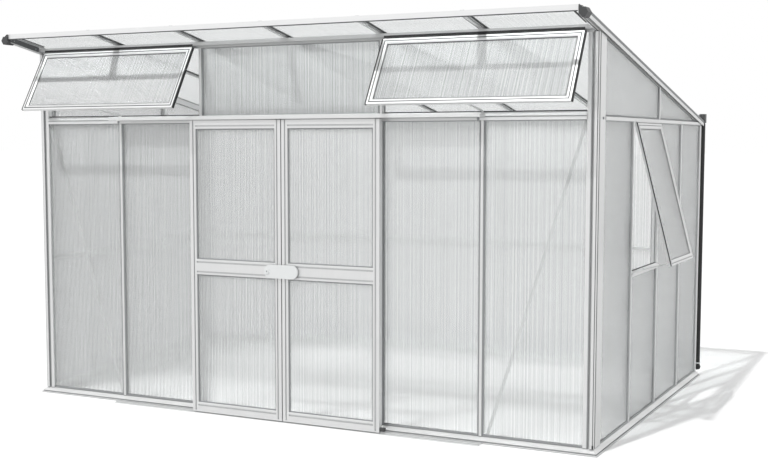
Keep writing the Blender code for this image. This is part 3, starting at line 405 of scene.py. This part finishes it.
def make_piece(name, bm, material, body="root"):
    """Turn a bmesh into a piece of the object."""
    bmesh.ops.recalc_face_normals(bm, faces=bm.faces)
    mesh = bpy.data.meshes.new(name)
    bm.to_mesh(mesh)
    bm.free()
    mesh.materials.append(material)
    piece = bpy.data.objects.new(name, mesh)
    bpy.context.scene.collection.objects.link(piece)
    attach(piece, body)
    print("%-22s %6d faces on %s" % (name, len(mesh.polygons), body))
    return piece


# %% [markdown]
# ## Rubber seals round the fixed sheets
# A rubber strip is pushed between each bar and its sheet from outside. It laps the bar's step and
# lies on the sheet, and from a few metres away it is the grey line on each side of every bar. Each
# pane gets four strips. Beside a bar the strip is L-shaped, and beside a rail it is a plain wedge.
# They could be lines in the sheet's material, but a real strip stands out, catches the light and
# hides the sheet's edge. The gables lie in shade, where their lines look paler than the front's, so
# their rubber is a lighter copy of the same grey: painted light.

# %% Seals of the four walls
STEP = 0.0075             # depth of the step beside a bar's spine
LAP = BAR_HALF - SPINE    # width of that step
TIP = 0.0035              # depth of a seal's outer face behind the wall's face


def seal_outline(reach, lap):
    """Seal as (away from the visible edge, in from the wall's face)."""
    play = 0.0002
    face = SHEET_FACE - play
    tail = [(reach - 0.0015, TIP + 0.001), (reach, TIP + 0.003), (reach, face), (play, face)]
    if lap:
        return [(play - LAP, TIP), *tail, (play, STEP - play), (play - LAP, STEP - play)]
    return [(play, TIP), *tail]


def add_gasket(bm, wall, sides, heights, laps=(True, True), reaches=(0.0045, 0.006, 0.005)):
    """Strips round a pane: sides and heights are its visible edges, reaches the strips' widths.

    A side gets a strip that laps a bar (True), a plain one (False) or none (None).
    """
    origin, run, inward = wall
    beside, foot, head = reaches
    tall = Z * (heights[1] - heights[0])
    wide = run * (sides[1] - sides[0])
    for place, way, lap in ((sides[0], run, laps[0]), (sides[1], -run, laps[1])):
        if lap is not None:
            corner = origin + run * place + Z * heights[0]
            add_strip(bm, seal_outline(beside, lap), corner, tall, way, inward)
    for height, way, reach in ((heights[0], Z, foot), (heights[1], -Z, head)):
        corner = origin + run * sides[0] + Z * height
        add_strip(bm, seal_outline(reach, False), corner, wide, way, inward)


def panes_between(lines, ends, end_lap=False):
    """Visible edges between an end, the bars on the lines and the other end, with their laps."""
    edges = [(ends[0], end_lap)]
    for line in lines:
        edges += [(line - BAR_HALF, True), (line + BAR_HALF, True)]
    edges.append((ends[1], end_lap))
    return [((a, b), (lap_a, lap_b)) for (a, lap_a), (b, lap_b) in zip(edges[::2], edges[1::2])]


def make_wall_seals():
    """Seals round every fixed pane below the eaves, and round the clerestory pane."""
    width = 2 * HALF_W
    front = [HALF_W + index * BAY for index in (-2, -1, 1, 2)]
    rear = [HALF_W + index * BAY for index in range(-2, 3)]
    left = [DEPTH - y for y in reversed(GABLE_LINES)]
    plans = {
        "front": (panes_between(front, (POST_FRONT, width - POST_FRONT), None), EAVE_Z),
        "right": (panes_between(GABLE_LINES, (POST_SIDE, DEPTH - POST_REAR)), RAIL_Z),
        "rear": (panes_between(rear, (POST_REAR, width - POST_REAR)), RAIL_Z),
        "left": (panes_between(left, (POST_REAR, DEPTH - POST_SIDE)), RAIL_Z),
    }
    for side, (panes, top) in plans.items():
        bm = bmesh.new()
        for number, (sides, laps) in enumerate(panes):
            doorway = side == "front" and number == 2
            under_vent = side == "right" and number == 1
            if not doorway:
                head = high("gable_sheet_right_2").z - 0.010 if under_vent else top
                add_gasket(bm, WALLS[side], sides, (SILL, head), laps)
        make_piece("seal_" + side, bm, gable_rubber_painted_light if side in ("right", "left") else seal_rubber)
    bm = bmesh.new()
    sides = (HALF_W - BAY + BAR_HALF, HALF_W + BAY - BAR_HALF)
    add_gasket(bm, WALLS["front"], sides, (low("clerestory_post_left").z, HEAD_Z))
    make_piece("seal_clerestory", bm, seal_rubber)


make_wall_seals()

# %% [markdown]
# ## Seals of the roof
# The rafters hold the roof sheet between a cap above and a foot below, with rubber on both sides.
# From under the overhang the lower strips are the dark lines at the rafters' edges; their dark grey
# also stands in for the shade under the rafters, so they are partly painted shade. Along each gable a
# rubber bulb closes the step between the rake bar's face and the sheet's edge. A level strip could
# be turned to the roof's slope, but here each one starts on the roof's own plane and runs down it,
# so that it can't miss the sheet.

# %% Roof seals
SHEET_THICK = 0.006
PITCH = math.radians(10.35)
DOWN_SLOPE = Vector((0, math.cos(PITCH), -math.sin(PITCH)))
ROOF_UP = Vector((0, math.sin(PITCH), math.cos(PITCH)))
ROOF_BACK = high("roof_sheet").y - SHEET_THICK * math.sin(PITCH)
ROOF_FRONT = low("roof_sheet").y


def on_roof(x, y, above=0.0):
    """Point at x and y on the plane that lies above the roof sheet's underside."""
    height = low("roof_sheet").z + (ROOF_BACK - y) * math.tan(PITCH) + above / math.cos(PITCH)
    return Vector((x, y, height))


def add_roof_strip(bm, outline, x, y0, y1, across=X):
    """Strip down the roof between two places along Y."""
    add_strip(bm, outline, on_roof(x, y0), DOWN_SLOPE * ((y1 - y0) / math.cos(PITCH)), across, ROOF_UP)


def make_roof_seals():
    """Strips beside the rafters and under the front edge, and bulbs along the rakes."""
    # The strips under the sheet are partly painted shade: their dark grey stands in for the shade at the
    # rafters' edges.
    under = [(0.0192, -0.0003), (0.0270, -0.0003), (0.0255, -0.0038), (0.0192, -0.0042)]
    over = [(0.0202, 0.0062), (0.0255, 0.0062), (0.0240, 0.0080), (0.0202, 0.0080)]
    bm = bmesh.new()
    for index in range(-2, 3):
        for way in (X, -X):
            add_roof_strip(bm, under, index * BAY, ROOF_FRONT + 0.014, DEPTH - 0.020, way)
            add_roof_strip(bm, over, index * BAY, ROOF_FRONT + 0.014, ROOF_BACK - 0.006, way)
    make_piece("rafter_seals_and_shade", bm, dark_rubber)
    bm = bmesh.new()
    front = low("roof_frame").y
    edge = Vector((low("roof_frame").x + 0.004, front, on_roof(0, front).z - 0.0203))
    bead = [(0.001, 0.0), (0.011, 0.0), (0.011, -0.003), (0.004, -0.0055), (0.001, -0.004)]
    add_strip(bm, bead, edge, X * (2 * (HALF_W - 0.027)), Y, Z)
    make_piece("seal_front_edge", bm, dark_rubber)
    bulb = [
        (-0.0130, -0.0170), (-0.0122, -0.0170), (-0.0122, -0.0084), (-0.0032, -0.0063),
        (-0.0032, 0.0040), (-0.0062, 0.0052), (-0.0105, 0.0010), (-0.0130, -0.0040),
    ]
    rake_front = high("edge_cap_left").y + 0.001
    for sign, side in ((-1, "left"), (1, "right")):
        bm = bmesh.new()
        add_roof_strip(bm, bulb, sign * HALF_W, rake_front, high("rake_bar_left").y - 0.003, X * -sign)
        make_piece("rake_bulb_" + side, bm, seal_rubber)


make_roof_seals()

# %% [markdown]
# ## Seals of the gables' top panes
# Above the eave rail an upright parts each gable's top sheet into two panes, and the same rubber runs
# round them. Their upper edges slope, so the helper for square panes can't be used: each strip starts
# at its own corner, and the upright ones are as tall as the slope leaves them.

# %% Seals of the gables' top panes
RAIL_TOP = high("rear_frame").z
RAKE_DROP = 0.040         # lower edge of the rake bars under the roof sheet


def make_top_pane_seals():
    """Seal along the eave rail, beside the upright and under the rake, in each gable."""
    middle = GABLE_LINES[1]
    rear_end = high("gable_top_sheet_right").y - 0.030
    plain = seal_outline(0.007, False)
    lapped = seal_outline(0.0045, True)
    sloped = [(-a, d) for a, d in seal_outline(0.004, False)]
    for sign, side in ((-1, "left"), (1, "right")):
        bm = bmesh.new()
        inward = X * -sign
        for y0, y1 in ((POST_SIDE, middle - BAR_HALF), (middle + BAR_HALF, rear_end)):
            add_strip(bm, plain, Vector((sign * HALF_W, y0, RAIL_TOP)), Y * (y1 - y0), Z, inward)
            start = on_roof(sign * HALF_W, y0, -RAKE_DROP)
            add_strip(bm, sloped, start, DOWN_SLOPE * ((y1 - y0) / math.cos(PITCH)), ROOF_UP, inward)
        for y, way in ((middle - BAR_HALF, -Y), (middle + BAR_HALF, Y)):
            tall = on_roof(0, y, -RAKE_DROP).z - RAIL_TOP
            add_strip(bm, lapped, Vector((sign * HALF_W, y, RAIL_TOP)), Z * tall, way, inward)
        tall = on_roof(0, POST_SIDE, -RAKE_DROP).z - RAIL_TOP
        start = Vector((sign * HALF_W, POST_SIDE, RAIL_TOP))
        add_strip(bm, seal_outline(0.009, False), start, Z * tall, Y, inward)
        make_piece("seal_top_" + side, bm, seal_rubber)


make_top_pane_seals()

# %% [markdown]
# ## Seals of the vents
# A vent hangs on a bead in the rail above it and must close against rain, so a black rubber flap
# covers the hinge and a strip runs down each side. A grey strip lies in the groove along the middle
# of its frame as painted shade, to darken the groove's line, and a glazing strip holds its sheet.
# Their corners could be worked out in the open place, but it is easier to draw them flat, in the
# closed vent's own axes, and then turn them open with it.
# A second flap, on the top rail's face, covers the gap over the hinge.

# %% Vent seals
VENT_OPEN = math.radians(31)
SASH_OPEN = math.radians(14.5)
HINGE_Z = HEAD_Z + 0.0092         # hinge line of the front vents
SASH_HINGE_Z = RAIL_Z - 0.0043
SASH_THICK = 0.020                # depth of a vent's frame
VENT_LONG, VENT_DROP = 0.445, 0.013     # front vent: hinge line to its foot, and to its top edge
SASH_LONG, SASH_DROP = 0.857, 0.006     # the same for the gable's vent


def vent_pose(side):
    """Matrix that turns a closed vent, drawn with its hinge at the origin, to its open place."""
    if side == "gable":
        middle = (GABLE_LINES[0] + GABLE_LINES[1]) / 2
        place = Matrix.Translation((HALF_W + 0.004, middle, SASH_HINGE_Z))
        place = place @ Matrix.Rotation(math.pi / 2, 4, "Z")
        return place @ Matrix.Rotation(-SASH_OPEN, 4, "X") @ Matrix.Translation((0, -SASH_THICK / 2, 0))
    node = "vent_frame_" + side
    middle = (low(node).x + high(node).x) / 2
    place = Matrix.Translation((middle, low("top_rail_front").y + 0.006, HINGE_Z))
    return place @ Matrix.Rotation(-VENT_OPEN, 4, "X") @ Matrix.Translation((0, -SASH_THICK / 2, 0))


def make_vent_seals(side, width, long, drop, wide, deep):
    """Black flap over the hinge and black strips, wide and deep, down the sides of one vent."""
    bm = bmesh.new()
    flap = [(0.0005, -drop), (0.0060, -drop), (0.0075, -drop + 0.007), (0.0050, -0.0028), (0.0005, -0.0045)]
    add_strip(bm, flap, Vector((-width / 2, 0, 0)), X * width, Y, Z)
    edge = [(0.0002, 0.0005), (wide - 0.001, 0.0005), (wide, 0.0020), (wide, deep), (0.0002, deep)]
    for way in (X, -X):
        add_strip(bm, edge, way * (width / 2) - Z * long, Z * (long - drop), way, Y)
    bm.transform(vent_pose(side))
    make_piece("seal_vent_" + side, bm, black_rubber)


def add_frame_strip(bm, outline, width, long, drop, inset):
    """Strip round all four bars of a closed vent, its outline measured inward from inset."""
    half = width / 2 - inset
    top = -drop - inset
    foot = -long + inset
    for way in (X, -X):
        add_strip(bm, outline, way * -half + Z * foot, Z * (top - foot), way, Y)
    for z, way in ((foot, Z), (top, -Z)):
        add_strip(bm, outline, Vector((-half, 0, z)), X * (2 * half), way, Y)


def make_vent_lines(side, width, long, drop):
    """Grey strip in the groove of a vent's frame, as painted shade, and the glazing strip at the sheet's
    edge.
    """
    wide = 0.0045 if side == "gable" else 0.0065
    # The grey strip in the frame's groove is painted shade: it darkens the groove's line.
    groove_shade = [(0.0, -0.0004), (wide, -0.0004), (wide, -0.0001), (0.0, -0.0001)]
    glazing = [(0.0003, 0.0045), (0.0035, 0.0055), (0.0045, 0.0074), (0.0003, 0.0074)]
    rubber = seal_rubber if side == "gable" else dark_rubber
    for name, outline, inset in (("groove_shade", groove_shade, 0.0107), ("glazing", glazing, 0.032)):
        bm = bmesh.new()
        add_frame_strip(bm, outline, width, long, drop, inset)
        bm.transform(vent_pose(side))
        make_piece("vent_%s_%s" % (name, side), bm, rubber)


def make_hood_flap(side):
    """Black rubber flap on the top rail's face, over one vent's hinge."""
    vent_low, vent_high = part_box("vent_frame_" + side)
    face = low("top_rail_front").y
    outline = [
        (-0.0003, -0.0035), (-0.0003, -0.0125), (-0.0020, -0.0140), (-0.0035, -0.0120), (-0.0020, -0.0035),
    ]
    bm = bmesh.new()
    start = Vector((vent_low.x, face, high("vent_frame_right").z + 0.0125))
    add_strip(bm, outline, start, X * (vent_high.x - vent_low.x), Y, Z)
    make_piece("hood_flap_" + side, bm, black_rubber)


for vent_side in ("left", "right"):
    vent = "vent_frame_" + vent_side
    vent_width = high(vent).x - low(vent).x
    make_vent_seals(vent_side, vent_width, VENT_LONG, VENT_DROP, 0.009, 0.015)
    make_vent_lines(vent_side, vent_width, VENT_LONG, VENT_DROP)
    make_hood_flap(vent_side)
gable_width = high("gable_vent_frame").y - low("gable_vent_frame").y
make_vent_seals("gable", gable_width, SASH_LONG, SASH_DROP, 0.003, 0.006)
make_vent_lines("gable", gable_width, SASH_LONG, SASH_DROP)

# %% [markdown]
# ## Shade strips on the corner posts and rakes, and strips in the vent openings
# The front corner posts carry two rubber strips: one in the angle between the ribbed corner and the
# flange that holds the sheet, and one in the groove on the gable side; both are painted shade that
# darkens these lines. A black rubber plug closes the right post's ribs at the foot. A vent closes on
# a black strip along its opening's lower edge. On the rakes' inner sides, under the overhang, a dark
# strip is painted shade for those shaded faces. All of these have one section from end to end, so
# they are extruded too, each from the post or opening that it sits on.

# %% Corner shade strips, closing strips and rake shade strips
def make_corner_shade_strips():
    """Dark strips in the front corner posts' angle and gable groove, as painted shade, and the plug at the
    right post's foot.
    """
    foot = SILL + 0.001
    # Painted shade: these strips darken the lines of the post's angle and of its gable groove.
    angle_shade = [(0.0342, -0.0010), (0.0410, -0.0006), (0.0410, -0.0001), (0.0342, -0.0001)]
    gable_groove_shade = [(0.0010, 0.0112), (0.0060, 0.0130), (0.0060, 0.0225), (0.0010, 0.0260)]
    tops = (HEAD_Z - 0.004, on_roof(0, 0.026, -RAKE_DROP).z - 0.002)
    for name, outline, top, rubber in (
        ("angle_shade", angle_shade, tops[0], seal_rubber), ("gable_groove_shade", gable_groove_shade, tops[1], dark_rubber),
    ):
        bm = bmesh.new()
        for sign in (-1, 1):
            add_strip(bm, outline, Vector((sign * HALF_W, 0, foot)), Z * (top - foot), X * -sign, Y)
        make_piece("corner_" + name, bm, rubber)
    plug = [(0.003, -0.0050), (0.019, -0.0050), (0.019, -0.0002), (0.003, -0.0002)]
    bm = bmesh.new()
    add_strip(bm, plug, Vector((HALF_W, 0, foot + 0.001)), Z * 0.016, -X, Y)
    make_piece("corner_plug", bm, black_rubber)


def make_closing_strips():
    """Black strips on which the vents close."""
    bm = bmesh.new()
    sill = high("transom_front").z
    bead = [(0.0, 0.0002), (0.0060, 0.0002), (0.0060, 0.0055), (0.0030, 0.0070), (0.0, 0.0055)]
    for sign in (-1, 1):
        ends = sorted((sign * (BAY + BAR_HALF + 0.002), sign * (HALF_W - POST_FRONT + 0.024)))
        add_strip(bm, bead, Vector((ends[0], 0.022, sill)), X * (ends[1] - ends[0]), Y, Z)
    sash_sill = high("gable_sheet_right_2").z + 0.0185
    sash_low, sash_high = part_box("gable_vent_frame")
    start = Vector((HALF_W - 0.016, sash_low.y, sash_sill + 0.0002))
    add_strip(bm, bead, start, Y * (sash_high.y - sash_low.y), X, Z)
    make_piece("closing_strips", bm, black_rubber)


def make_rake_shade_strips():
    """Dark strips on the rakes' inner sides under the overhang: painted shade."""
    bm = bmesh.new()
    reach = HALF_W - low("rake_bar_right").x
    near, far = reach + 0.0002, reach + 0.0030
    # Painted shade: dark strips stand in for the shade on the rakes' inner faces under the overhang.
    shade_face = [(near, -0.0045), (far, -0.0060), (far, -0.0330), (near, -0.0360)]
    ridge = [(0.062, -0.0003), (0.072, -0.0003), (0.070, -0.0060), (0.064, -0.0060)]
    for sign in (-1, 1):
        for outline in (shade_face, ridge):
            add_roof_strip(bm, outline, sign * HALF_W, ROOF_FRONT + 0.016, -0.033, X * -sign)
    make_piece("rake_shade_strips", bm, dark_rubber)


make_corner_shade_strips()
make_closing_strips()
make_rake_shade_strips()

# %% [markdown]
# ## Seals of the door leaves
# Each door leaf holds two sheets in rubber. These strips move with their leaf, and a piece can ride
# on one body only, so each leaf's seals are a piece of their own.

# %% Door seals
STILE = 0.042             # width of a door stile
LEAF_SHEET = 0.0121       # depth of the sheet behind the leaf's face


def make_door_seals(side):
    """Strips round the upper and the lower sheet of one leaf."""
    frame_low, frame_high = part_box("door_frame_" + side)
    left = frame_low.x + STILE
    right = frame_high.x - STILE
    strip = [
        (0.0002, 0.0040), (0.0050, 0.0050), (0.0065, 0.0065), (0.0065, LEAF_SHEET), (0.0002, LEAF_SHEET),
    ]
    bm = bmesh.new()
    for level in ("upper", "lower"):
        sheet_low, sheet_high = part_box("door_sheet_%s_%s" % (side, level))
        bottom = sheet_low.z + 0.009
        top = sheet_high.z - 0.009
        for x, way in ((left, X), (right, -X)):
            add_strip(bm, strip, Vector((x, frame_low.y, bottom)), Z * (top - bottom), way, Y)
        for z, way in ((bottom, Z), (top, -Z)):
            add_strip(bm, strip, Vector((left, frame_low.y, z)), X * (right - left), way, Y)
    make_piece("seal_door_" + side, bm, seal_rubber, side + "_leaf")


for leaf_side in ("left", "right"):
    make_door_seals(leaf_side)

# %% [markdown]
# ## Bolts
# A hexagon is a cone primitive with six sides and equal radii; its upper rim is bevelled, as a
# pressed head is. The washer is a flat cone primitive with twenty sides. A thread would never be
# seen, and is left out. One bolt is about 12 mm across, two pixels of the view.

# %% Bolts
def add_bolt(bm, at, way, size=0.006):
    """Hexagon head on a washer at a point, pointing along way."""
    turn = way.to_track_quat("Z", "Y").to_matrix().to_4x4()
    for sides, radius, low_z, tall in ((20, size * 1.35, 0.0, 0.0012), (6, size, 0.0012, size * 0.65)):
        made = bmesh.ops.create_cone(
            bm, cap_ends=True, segments=sides, radius1=radius, radius2=radius, depth=tall,
            matrix=Matrix.Translation(at) @ turn @ Matrix.Translation((0, 0, low_z + tall / 2)),
        )["verts"]
        rim = [
            edge for edge in {edge for vert in made for edge in vert.link_edges}
            if all((vert.co - at).dot(way) > low_z + tall * 0.9 for vert in edge.verts)
        ]
        bmesh.ops.bevel(
            bm, geom=rim, offset=tall * 0.25, affect="EDGES", segments=2, profile=0.5, material=-1,
            clamp_overlap=True,
        )


def make_bolts():
    """Bolts of the frame: eaves, corners and the rakes' inner faces."""
    bm = bmesh.new()
    nose = low("transom_front").y
    for x in (-2 * BAY - 0.007, 2 * BAY - 0.022):
        add_bolt(bm, Vector((x, nose + 0.004, EAVE_Z + 0.008)), -Y)
    for sign in (-1, 1):
        add_bolt(bm, Vector((sign * HALF_W, 0.082, RAIL_Z + 0.010)), X * sign)
        inner = sign * low("rake_bar_right").x
        for y in (-0.267, -0.066):
            add_bolt(bm, on_roof(inner, y, -0.022), X * -sign, 0.005)
    make_piece("bolts_frame", bm, zinc, "root")


make_bolts()

# %% [markdown]
# ## Latch bolt and bumper
# The latch turns on a bolt in the middle of its boss. The right leaf carries a dark moulded bumper
# low on its outer edge. It is a cube with its edges rounded, as the mould leaves them.

# %% Latch bolt and bumper
def make_latch_bolt():
    """Bolt head on the latch's boss."""
    joint = next(j for j in frame["record"]["behaviour"]["joints"] if j["name"] == "latch_turn")
    at = Vector((joint["pos_m"][0], low("door_latch").y, joint["pos_m"][2]))
    bm = bmesh.new()
    add_bolt(bm, at + Y * 0.0045, -Y, 0.0055)
    make_piece("bolt_latch", bm, zinc, "latch")


def make_bumper():
    """Moulded bumper at the foot of the right leaf's outer edge."""
    edge = high("door_frame_right").x
    face = low("door_frame_right").y
    bm = bmesh.new()
    box = bmesh.ops.create_cube(bm, size=1.0)["verts"]
    bmesh.ops.scale(bm, verts=box, vec=(0.034, 0.018, 0.022))
    bmesh.ops.bevel(
        bm, geom=bm.edges[:], offset=0.004, affect="EDGES", segments=3, profile=0.5, material=-1,
    )
    bmesh.ops.translate(bm, verts=bm.verts, vec=(edge + 0.017, face + 0.010, 0.028))
    make_piece("bumper_right", bm, dark_plastic, "right_leaf")


make_latch_bolt()
make_bumper()

# %% [markdown]
# ## Downpipe shoe
# The downpipe ends in a round moulded shoe that throws the water out behind the wall. An outline
# could be spun for it, but its mouth is cut at a slant, so it is a ball with its lower rear opened by
# a cutting plane, and then given a wall. The collar round the pipe above it is two circles, bridged
# and extruded.

# %% Downpipe shoe and collar
def make_shoe():
    """Round shoe and collar at the downpipe's foot."""
    pipe_low, pipe_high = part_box("downpipe")
    centre = (pipe_low + pipe_high) / 2
    foot = pipe_low.z
    bm = bmesh.new()
    bmesh.ops.create_uvsphere(bm, u_segments=24, v_segments=16, radius=0.023)
    way = Vector((0, 0.55, -0.83)).normalized()
    bmesh.ops.bisect_plane(
        bm, geom=bm.verts[:] + bm.edges[:] + bm.faces[:], dist=1e-6, plane_co=way * 0.012, plane_no=way,
        clear_outer=True,
    )
    bmesh.ops.solidify(bm, geom=bm.faces[:], thickness=0.0025)
    bmesh.ops.translate(bm, verts=bm.verts, vec=(centre.x, centre.y, foot - 0.004))
    make_piece("downpipe_shoe", bm, pipe_plastic)
    bm = bmesh.new()
    ring = bmesh.ops.create_circle(bm, radius=0.0205, segments=32)["verts"]
    inner = bmesh.ops.create_circle(bm, radius=0.0183, segments=32)["verts"]
    rims = list({edge for vert in ring + inner for edge in vert.link_edges})
    bmesh.ops.bridge_loops(bm, edges=rims)
    grown = bmesh.ops.extrude_face_region(bm, geom=bm.faces[:])
    moved = [item for item in grown["geom"] if isinstance(item, bmesh.types.BMVert)]
    bmesh.ops.translate(bm, verts=moved, vec=(0, 0, 0.009))
    bmesh.ops.translate(bm, verts=bm.verts, vec=(centre.x, centre.y, foot + 0.021))
    make_piece("downpipe_collar", bm, white_plastic, "root")


make_shoe()

# %% [markdown]
# ## Light and floor
# The picture has one hard, high sun from the front and slightly left, and a bright even sky. A plain
# white world fills the shadows. Rays that look straight at it, or see it in metal or through a sheet,
# find full white. More light would whiten the background as well, but would wash out the building.
# The floor is matt and pale. Where the camera looks at it straight it is just white enough in full
# light to vanish, so that only the object's shadow is left on it; the light that it throws back on
# the object is that of a plain pale floor.

# %% Sun and sky
SUN_WAY = Vector((0.157, 0.64, -1.0))
SUN_STRENGTH = 1.35
SKY = 0.66
FLOOR_BOUNCE = 0.82       # floor's tone for the light it throws back
FLOOR_MIRRORED = 0.84     # its tone in metal and through a sheet
FLOOR_SEEN = 1.10         # its tone straight from the camera


def plain_rays(tree, path):
    """1 for camera, glossy and transmission rays, else 0."""
    seen = add_node(
        tree, "ShaderNodeMath", {"operation": "MAXIMUM"}, in0=path.outputs["Is Camera Ray"],
        in1=path.outputs["Is Glossy Ray"],
    )
    return add_node(
        tree, "ShaderNodeMath", {"operation": "MAXIMUM"}, in0=seen.outputs[0],
        in1=path.outputs["Is Transmission Ray"],
    ).outputs[0]


def make_light():
    """White sky and one sun."""
    world = bpy.data.worlds.new("studio")
    bpy.context.scene.world = world
    world.use_nodes = True
    tree = world.node_tree
    tree.nodes.clear()
    path = add_node(tree, "ShaderNodeLightPath")
    strength = add_node(tree, "ShaderNodeMapRange", Value=plain_rays(tree, path), To_Min=SKY, To_Max=1.0)
    sky = add_node(tree, "ShaderNodeBackground", Color=(1, 1, 1, 1), Strength=strength.outputs[0])
    add_node(tree, "ShaderNodeOutputWorld", Surface=sky.outputs[0])
    sun = bpy.data.lights.new("sun", "SUN")
    sun.energy = SUN_STRENGTH
    sun.angle = math.radians(1.5)
    lamp = bpy.data.objects.new("sun", sun)
    lamp.rotation_euler = SUN_WAY.to_track_quat("-Z", "Y").to_euler()
    bpy.context.scene.collection.objects.link(lamp)


def make_floor():
    """Pale floor that catches the shadow."""
    bm = bmesh.new()
    bmesh.ops.create_grid(bm, x_segments=1, y_segments=1, size=150)
    bmesh.ops.translate(bm, verts=bm.verts, vec=(0, 0, -0.0005))
    mesh = bpy.data.meshes.new("floor")
    bm.to_mesh(mesh)
    bm.free()
    floor = bpy.data.objects.new("floor", mesh)
    bpy.context.scene.collection.objects.link(floor)
    mat, tree, output = new_material("matt_pale_floor")
    path = add_node(tree, "ShaderNodeLightPath")
    seen = add_node(
        tree, "ShaderNodeMix", {"data_type": "RGBA"}, in0=plain_rays(tree, path),
        in6=[FLOOR_BOUNCE] * 3 + [1], in7=[FLOOR_MIRRORED] * 3 + [1],
    )
    tone = add_node(
        tree, "ShaderNodeMix", {"data_type": "RGBA"}, in0=path.outputs["Is Camera Ray"],
        in6=seen.outputs[2], in7=[FLOOR_SEEN] * 3 + [1],
    )
    matt = add_node(tree, "ShaderNodeBsdfDiffuse", Color=tone.outputs[2])
    tree.links.new(matt.outputs[0], output.inputs["Surface"])
    floor.data.materials.append(mat)


make_light()
make_floor()
bpy.context.scene.view_settings.view_transform = "Standard"
print("sun %.2f, sky %.2f" % (SUN_STRENGTH, SKY))
